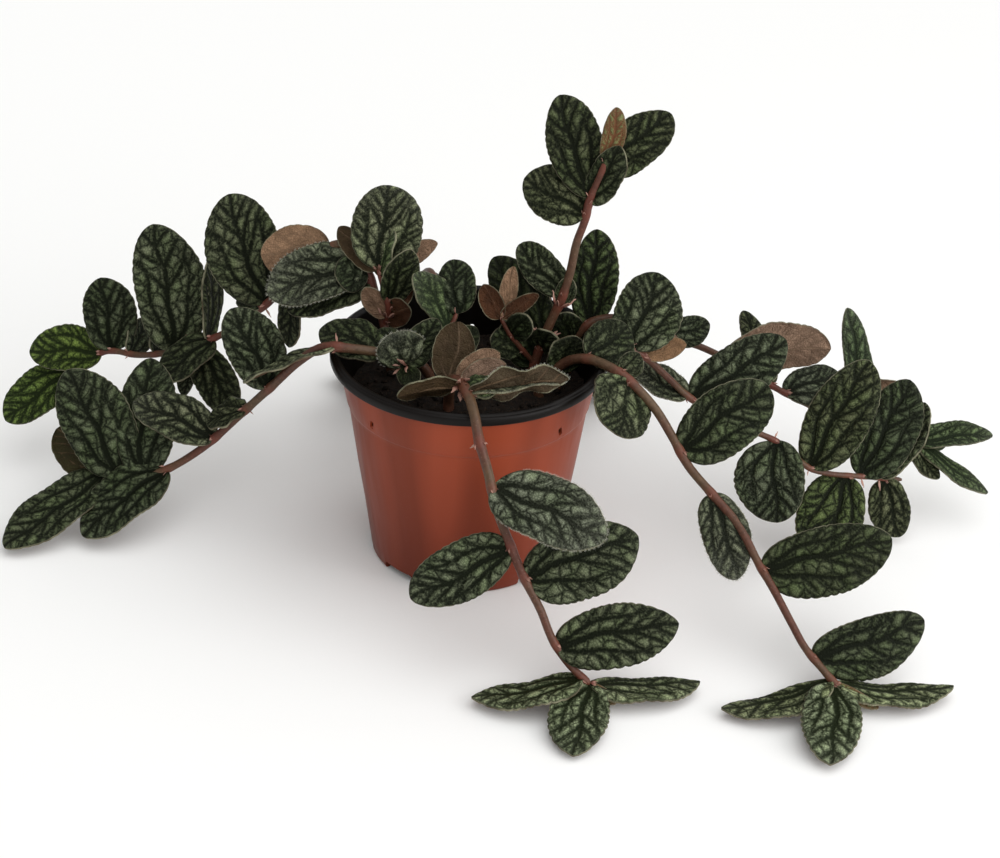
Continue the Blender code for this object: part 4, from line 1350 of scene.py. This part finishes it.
@dataclass
class NurseryPot:
    """Thin-walled pot with a rolled lip, drain notches and slots for a hanger."""

    material: Material
    sides: int = 144
    notch_count: int = 8
    notch_first: float = 2.0
    notch_size: Place = (17.0, 14.0, 12.0)
    notch_place: tuple[float, float] = (42.0, -2.0)
    notch_rounding: float = 1.6
    # degrees from the front, and by how many its top leans to the right
    slots: tuple[tuple[float, float], ...] = ((-47.5, 18.0), (47.5, -18.0), (180.0, 0.0))
    slot_size: Place = (2.0, 8.0, 4.4)
    slot_place: tuple[float, float] = (53.0, 80.5)
    slot_rounding: float = 0.8
    lip_bottom: float = 95.2
    lip_inner: float = 58.0
    lip_top: float = 99.0
    floor_top: float = 5.0
    # radius and height: the wall outside, the rolled lip, and the wall inside down to the base
    outside: tuple[tuple[float, float], ...] = (
        (40.2, 0.0), (41.2, 0.2), (42.0, 1.4), (42.8, 8.0), (45.2, 26.0), (48.2, 46.0), (52.0, 73.8),
        (52.2, 75.4), (52.45, 75.9), (52.85, 76.4), (53.1, 77.0), (54.6, 85.0), (56.0, 92.2),
        (56.9, 97.0), (57.15, 97.9))
    lip: tuple[tuple[float, float], ...] = (
        (57.6, 98.5), (58.3, 98.4), (58.7, 97.9), (58.9, 97.2), (58.9, 95.6), (59.05, 95.3),
        (59.4, 95.2), (59.8, 95.3), (60.0, 95.7), (60.0, 97.2), (60.0, 98.2), (59.75, 98.75),
        (59.35, 99.05), (58.95, 99.15), (58.75, 99.4), (58.35, 99.8), (57.9, 100.0), (57.2, 99.9),
        (56.5, 99.45), (56.0, 98.8), (55.8, 98.0))
    inside: tuple[tuple[float, float], ...] = (
        (55.0, 93.5), (53.4, 85.2), (51.85, 77.1), (51.7, 76.6), (51.2, 75.8), (51.0, 74.8),
        (41.2, 2.8), (40.7, 1.8), (39.8, 1.4))

    def build(self) -> None:
        """Model the pot: a disc for the base, extruded and widened ring by ring."""
        steps = [*self.outside, *self.lip, *self.inside]
        pot = start(bpy.ops.mesh.primitive_circle_add, vertices=self.sides,
                    radius=steps[0][0] * MM, fill_type="NGON", location=(0.0, 0.0, 0.0))
        with edit_mode():
            extrude_rings(steps)
        self.cut(pot)
        self.paint_layers(pot.data)
        finish_piece(pot, self.material, "pot", 32.0)

    def cut(self, pot: Object) -> None:
        """Cut the drain notches and the slots from the wall, and leave the pot active.

        Args:
            pot: the pot's object.
        """
        cutters = []
        for number in range(self.notch_count):
            angle = self.notch_first + 360.0 * number / self.notch_count
            cutters.append(self.model_cutter((angle, *self.notch_place), self.notch_size,
                                             self.notch_rounding))
        for angle, lean in self.slots:
            cutters.append(self.model_cutter((angle, *self.slot_place), self.slot_size,
                                             self.slot_rounding, lean))
        cutter = join(cutters, "pot_cutter")
        # the pot is named, and is the active object again
        join([pot], "nursery_pot")
        modifier = pot.modifiers.new("holes", "BOOLEAN")
        modifier.operation = "DIFFERENCE"
        modifier.solver = "EXACT"
        modifier.object = cutter
        bpy.ops.object.modifier_apply(modifier=modifier.name)
        bpy.data.objects.remove(cutter)

    def model_cutter(self, spot: Place, size: Place, rounding: float, lean: float = 0.0) -> Object:
        """Model one rounded block that cuts the wall.

        Args:
            spot: degrees from the front about the pot's axis, distance from it, and height.
            size: width, depth and height.
            rounding: radius of its edges.
            lean: degrees by which its top leans to the right.

        Returns:
            The block as an object at the origin.
        """
        angle, radius, height = spot
        turn = math.radians(angle)
        middle = (radius * math.sin(turn) * MM, -radius * math.cos(turn) * MM, height * MM)
        block = start(bpy.ops.mesh.primitive_cube_add, size=1.0, location=middle,
                      rotation=(0.0, math.radians(lean), turn),
                      scale=tuple(side * MM for side in size))
        bpy.ops.object.transform_apply(location=True, rotation=True, scale=True)
        with edit_mode(outwards=False):
            bpy.ops.mesh.bevel(offset=rounding * MM, segments=3, affect="EDGES")
        return block

    def paint_layers(self, mesh: Mesh) -> None:
        """Mark the black layer: the inside of the wall and the rolled lip.

        Args:
            mesh: the pot's mesh.
        """
        layer = mesh.attributes.new("black_layer", "FLOAT", "CORNER")
        for polygon in mesh.polygons:
            x, y, high = polygon.center / MM
            away = math.hypot(x, y)
            lip = high > self.lip_bottom and away > self.lip_inner
            inner = polygon.normal.dot(Vector((x, y, 0.0)).normalized()) < -0.3 and high > 1.2
            floor = polygon.normal.z > 0.5 and high < self.floor_top
            black = 1.0 if lip or inner or floor or high > self.lip_top else 0.0
            for corner in polygon.loop_indices:
                layer.data[corner].value = black


@dataclass
class PottingSoil:
    """Loose soil: an uneven top with clods, and crumbs that lie on it."""

    material: Material
    top: float = 79.5
    radius: float = 51.3
    fineness: int = 110
    clod: float = 1.5
    crumbs: int = 170
    crumb_reach: float = 49.5
    # radius and height of the rings below the uneven top, the first of which is level
    rings: tuple[tuple[float, float], ...] = ((50.6, 75.6), (40.7, 3.1), (39.2, 1.7))
    level_above: float = 70.0

    def height(self, x: float, y: float) -> float:
        """Give the height of the soil's top at a place.

        Args:
            x: millimetres to the right of the pot's axis.
            y: millimetres behind it.

        Returns:
            Millimetres above the floor.
        """
        wide = noise.noise(Vector((x * 0.05, y * 0.05, 3.1)))
        clods = noise.turbulence(Vector((x * 0.22, y * 0.22, 7.7)), 3, False)
        return self.top + 1.2 * wide + self.clod * (clods - 0.5)

    def build(self) -> None:
        """Model the soil: a round sheet raised in clods, extruded down to the base."""
        soil = start(bpy.ops.mesh.primitive_grid_add, x_subdivisions=self.fineness,
                     y_subdivisions=self.fineness, size=2.0)
        square = coordinates(soil.data)[:, :2]
        disc = square * np.sqrt(1.0 - 0.5 * square[:, ::-1] ** 2) * self.radius
        heights = np.array([self.height(x, y) for x, y in disc])
        set_coordinates(soil.data, np.column_stack([disc, heights]) * MM)
        with edit_mode():
            extrude_rings([(self.radius, self.top), *self.rings], self.level_above)
        clear_maps(soil.data)
        piece = join([soil] + self.model_crumbs(), "potting_soil")
        finish_piece(piece, self.material, "soil", 50.0)

    def model_crumbs(self) -> list[Object]:
        """Model one crumb and scatter turned and squashed copies of it.

        Returns:
            The crumbs as objects at the origin.
        """
        pattern = take_mesh(start(bpy.ops.mesh.primitive_ico_sphere_add, subdivisions=2, radius=1.0))
        for vertex in pattern.vertices:
            vertex.co *= 1.0 + 0.35 * noise.noise(vertex.co * 1.7)
        draw = random.Random("crumbs")
        crumbs = []
        for _ in range(self.crumbs):
            angle = draw.uniform(0.0, TURN)
            away = self.crumb_reach * math.sqrt(draw.random())
            x, y = away * math.cos(angle), away * math.sin(angle)
            size = draw.uniform(0.5, 1.7)
            spin = Matrix.Rotation(draw.uniform(0.0, 6.28), 4, (draw.random(), 0.4, 0.8))
            squash = Matrix.Diagonal((size * 1.3, size, size * 0.7, 1.0))
            place = Matrix.Translation((x, y, self.height(x, y) + 0.2 * size))
            crumbs.append(show(pattern.copy(), Matrix.Scale(MM, 4) @ place @ spin @ squash))
        bpy.data.meshes.remove(pattern)
        return crumbs


@dataclass
class Studio:
    """Pale floor, soft lights and the camera at the photograph's angle."""

    camera_place: Place = (14.27, -811.07, 540.76)
    look_down: float = 30.7
    roll: float = 1.95
    lens: float = 77.3
    floor_size: float = 14.0
    paper: str = "#f6f6f5"
    paper_fibre: str = "#dcdcd8"
    fibre_mm: float = 1.2
    air: str = "#f8f8f7"
    fill: float = 0.5
    key_from: Place = (0.52, -0.3, 0.8)
    key_place: Place = (0.6, -0.6, 1.6)
    key_angle: float = 100.0
    key_strength: float = 2.3
    side_place: Place = (0.95, -0.6, 0.34)
    side_size: float = 0.7
    side_power: float = 4.0

    def build(self) -> None:
        """Lay the floor, hang the lights and set the camera."""
        bpy.context.scene.view_settings.view_transform = "Standard"
        self.lay_floor()
        self.hang_lights()
        self.set_camera()

    def lay_floor(self) -> None:
        """Lay a wide sheet of matt paper."""
        floor = start(bpy.ops.mesh.primitive_plane_add, size=1.0, location=(0.0, 0.0, 0.0))
        floor.name = "floor"
        with edit_mode(outwards=False):
            bpy.ops.transform.resize(value=(self.floor_size, self.floor_size, 1.0))
        recipe = Recipe("matt_studio_paper")
        add = recipe.add
        add("place", "TexCoord", out="Object")
        add("fibre", "TexNoise", {"Vector": "place", "Scale": 1.0 / (self.fibre_mm * MM),
                                  "Detail": 3.0})
        add("shade", "MapRange", ("fibre", 0.3, 0.7, 0.0, 0.03))
        add("colour", "Mix", ("shade", self.paper, self.paper_fibre))
        floor.data.materials.append(recipe.finish("colour", 0.95, 0.1))

    def hang_lights(self) -> None:
        """Light the scene all round, from above on the right, and a little from the right."""
        world = bpy.data.worlds.new("studio")
        world.use_nodes = True
        background = world.node_tree.nodes["Background"]
        background.inputs["Color"].default_value = linear(self.air)
        background.inputs["Strength"].default_value = self.fill
        bpy.context.scene.world = world
        for name, kind, place, source, power in (
                ("large_soft_key", "SUN", self.key_place, self.key_from, self.key_strength),
                ("soft_side_light", "AREA", self.side_place, self.side_place, self.side_power)):
            light = start(bpy.ops.object.light_add, type=kind, location=place)
            light.name = name
            light.data.energy = power
            light.rotation_euler = (-Vector(source)).to_track_quat("-Z", "Y").to_euler()
            if kind == "SUN":
                light.data.angle = math.radians(self.key_angle)
            else:
                light.data.size = self.side_size

    def set_camera(self) -> None:
        """Set the camera at the place from which the photograph was taken."""
        camera = start(bpy.ops.object.camera_add,
                       location=tuple(value * MM for value in self.camera_place))
        tilt = Matrix.Rotation(math.radians(90.0 - self.look_down), 4, "X")
        roll = Matrix.Rotation(math.radians(self.roll), 4, "Z")
        camera.matrix_world = Matrix.Translation(camera.location) @ tilt @ roll
        camera.data.sensor_width = 36.0
        camera.data.lens = self.lens
        camera.data.clip_end = 50.0
        bpy.context.scene.camera = camera


def main() -> None:
    """Build every piece in order and report each one."""
    logging.basicConfig(level=logging.INFO, format="%(message)s")
    finishes = [kind().material() for kind in (LeafFinish, HairFinish, StemFinish, StipuleFinish)]
    sheets = BladeSheets()
    for name, branches in STEMS.items():
        LeafyStem(name, branches, sheets, *finishes).build()
    for mesh in sheets.sheets.values():
        bpy.data.meshes.remove(mesh)
    NurseryPot(PotFinish().material()).build()
    PottingSoil(SoilFinish().material()).build()
    Studio().build()


if __name__ == "__main__":
    main()
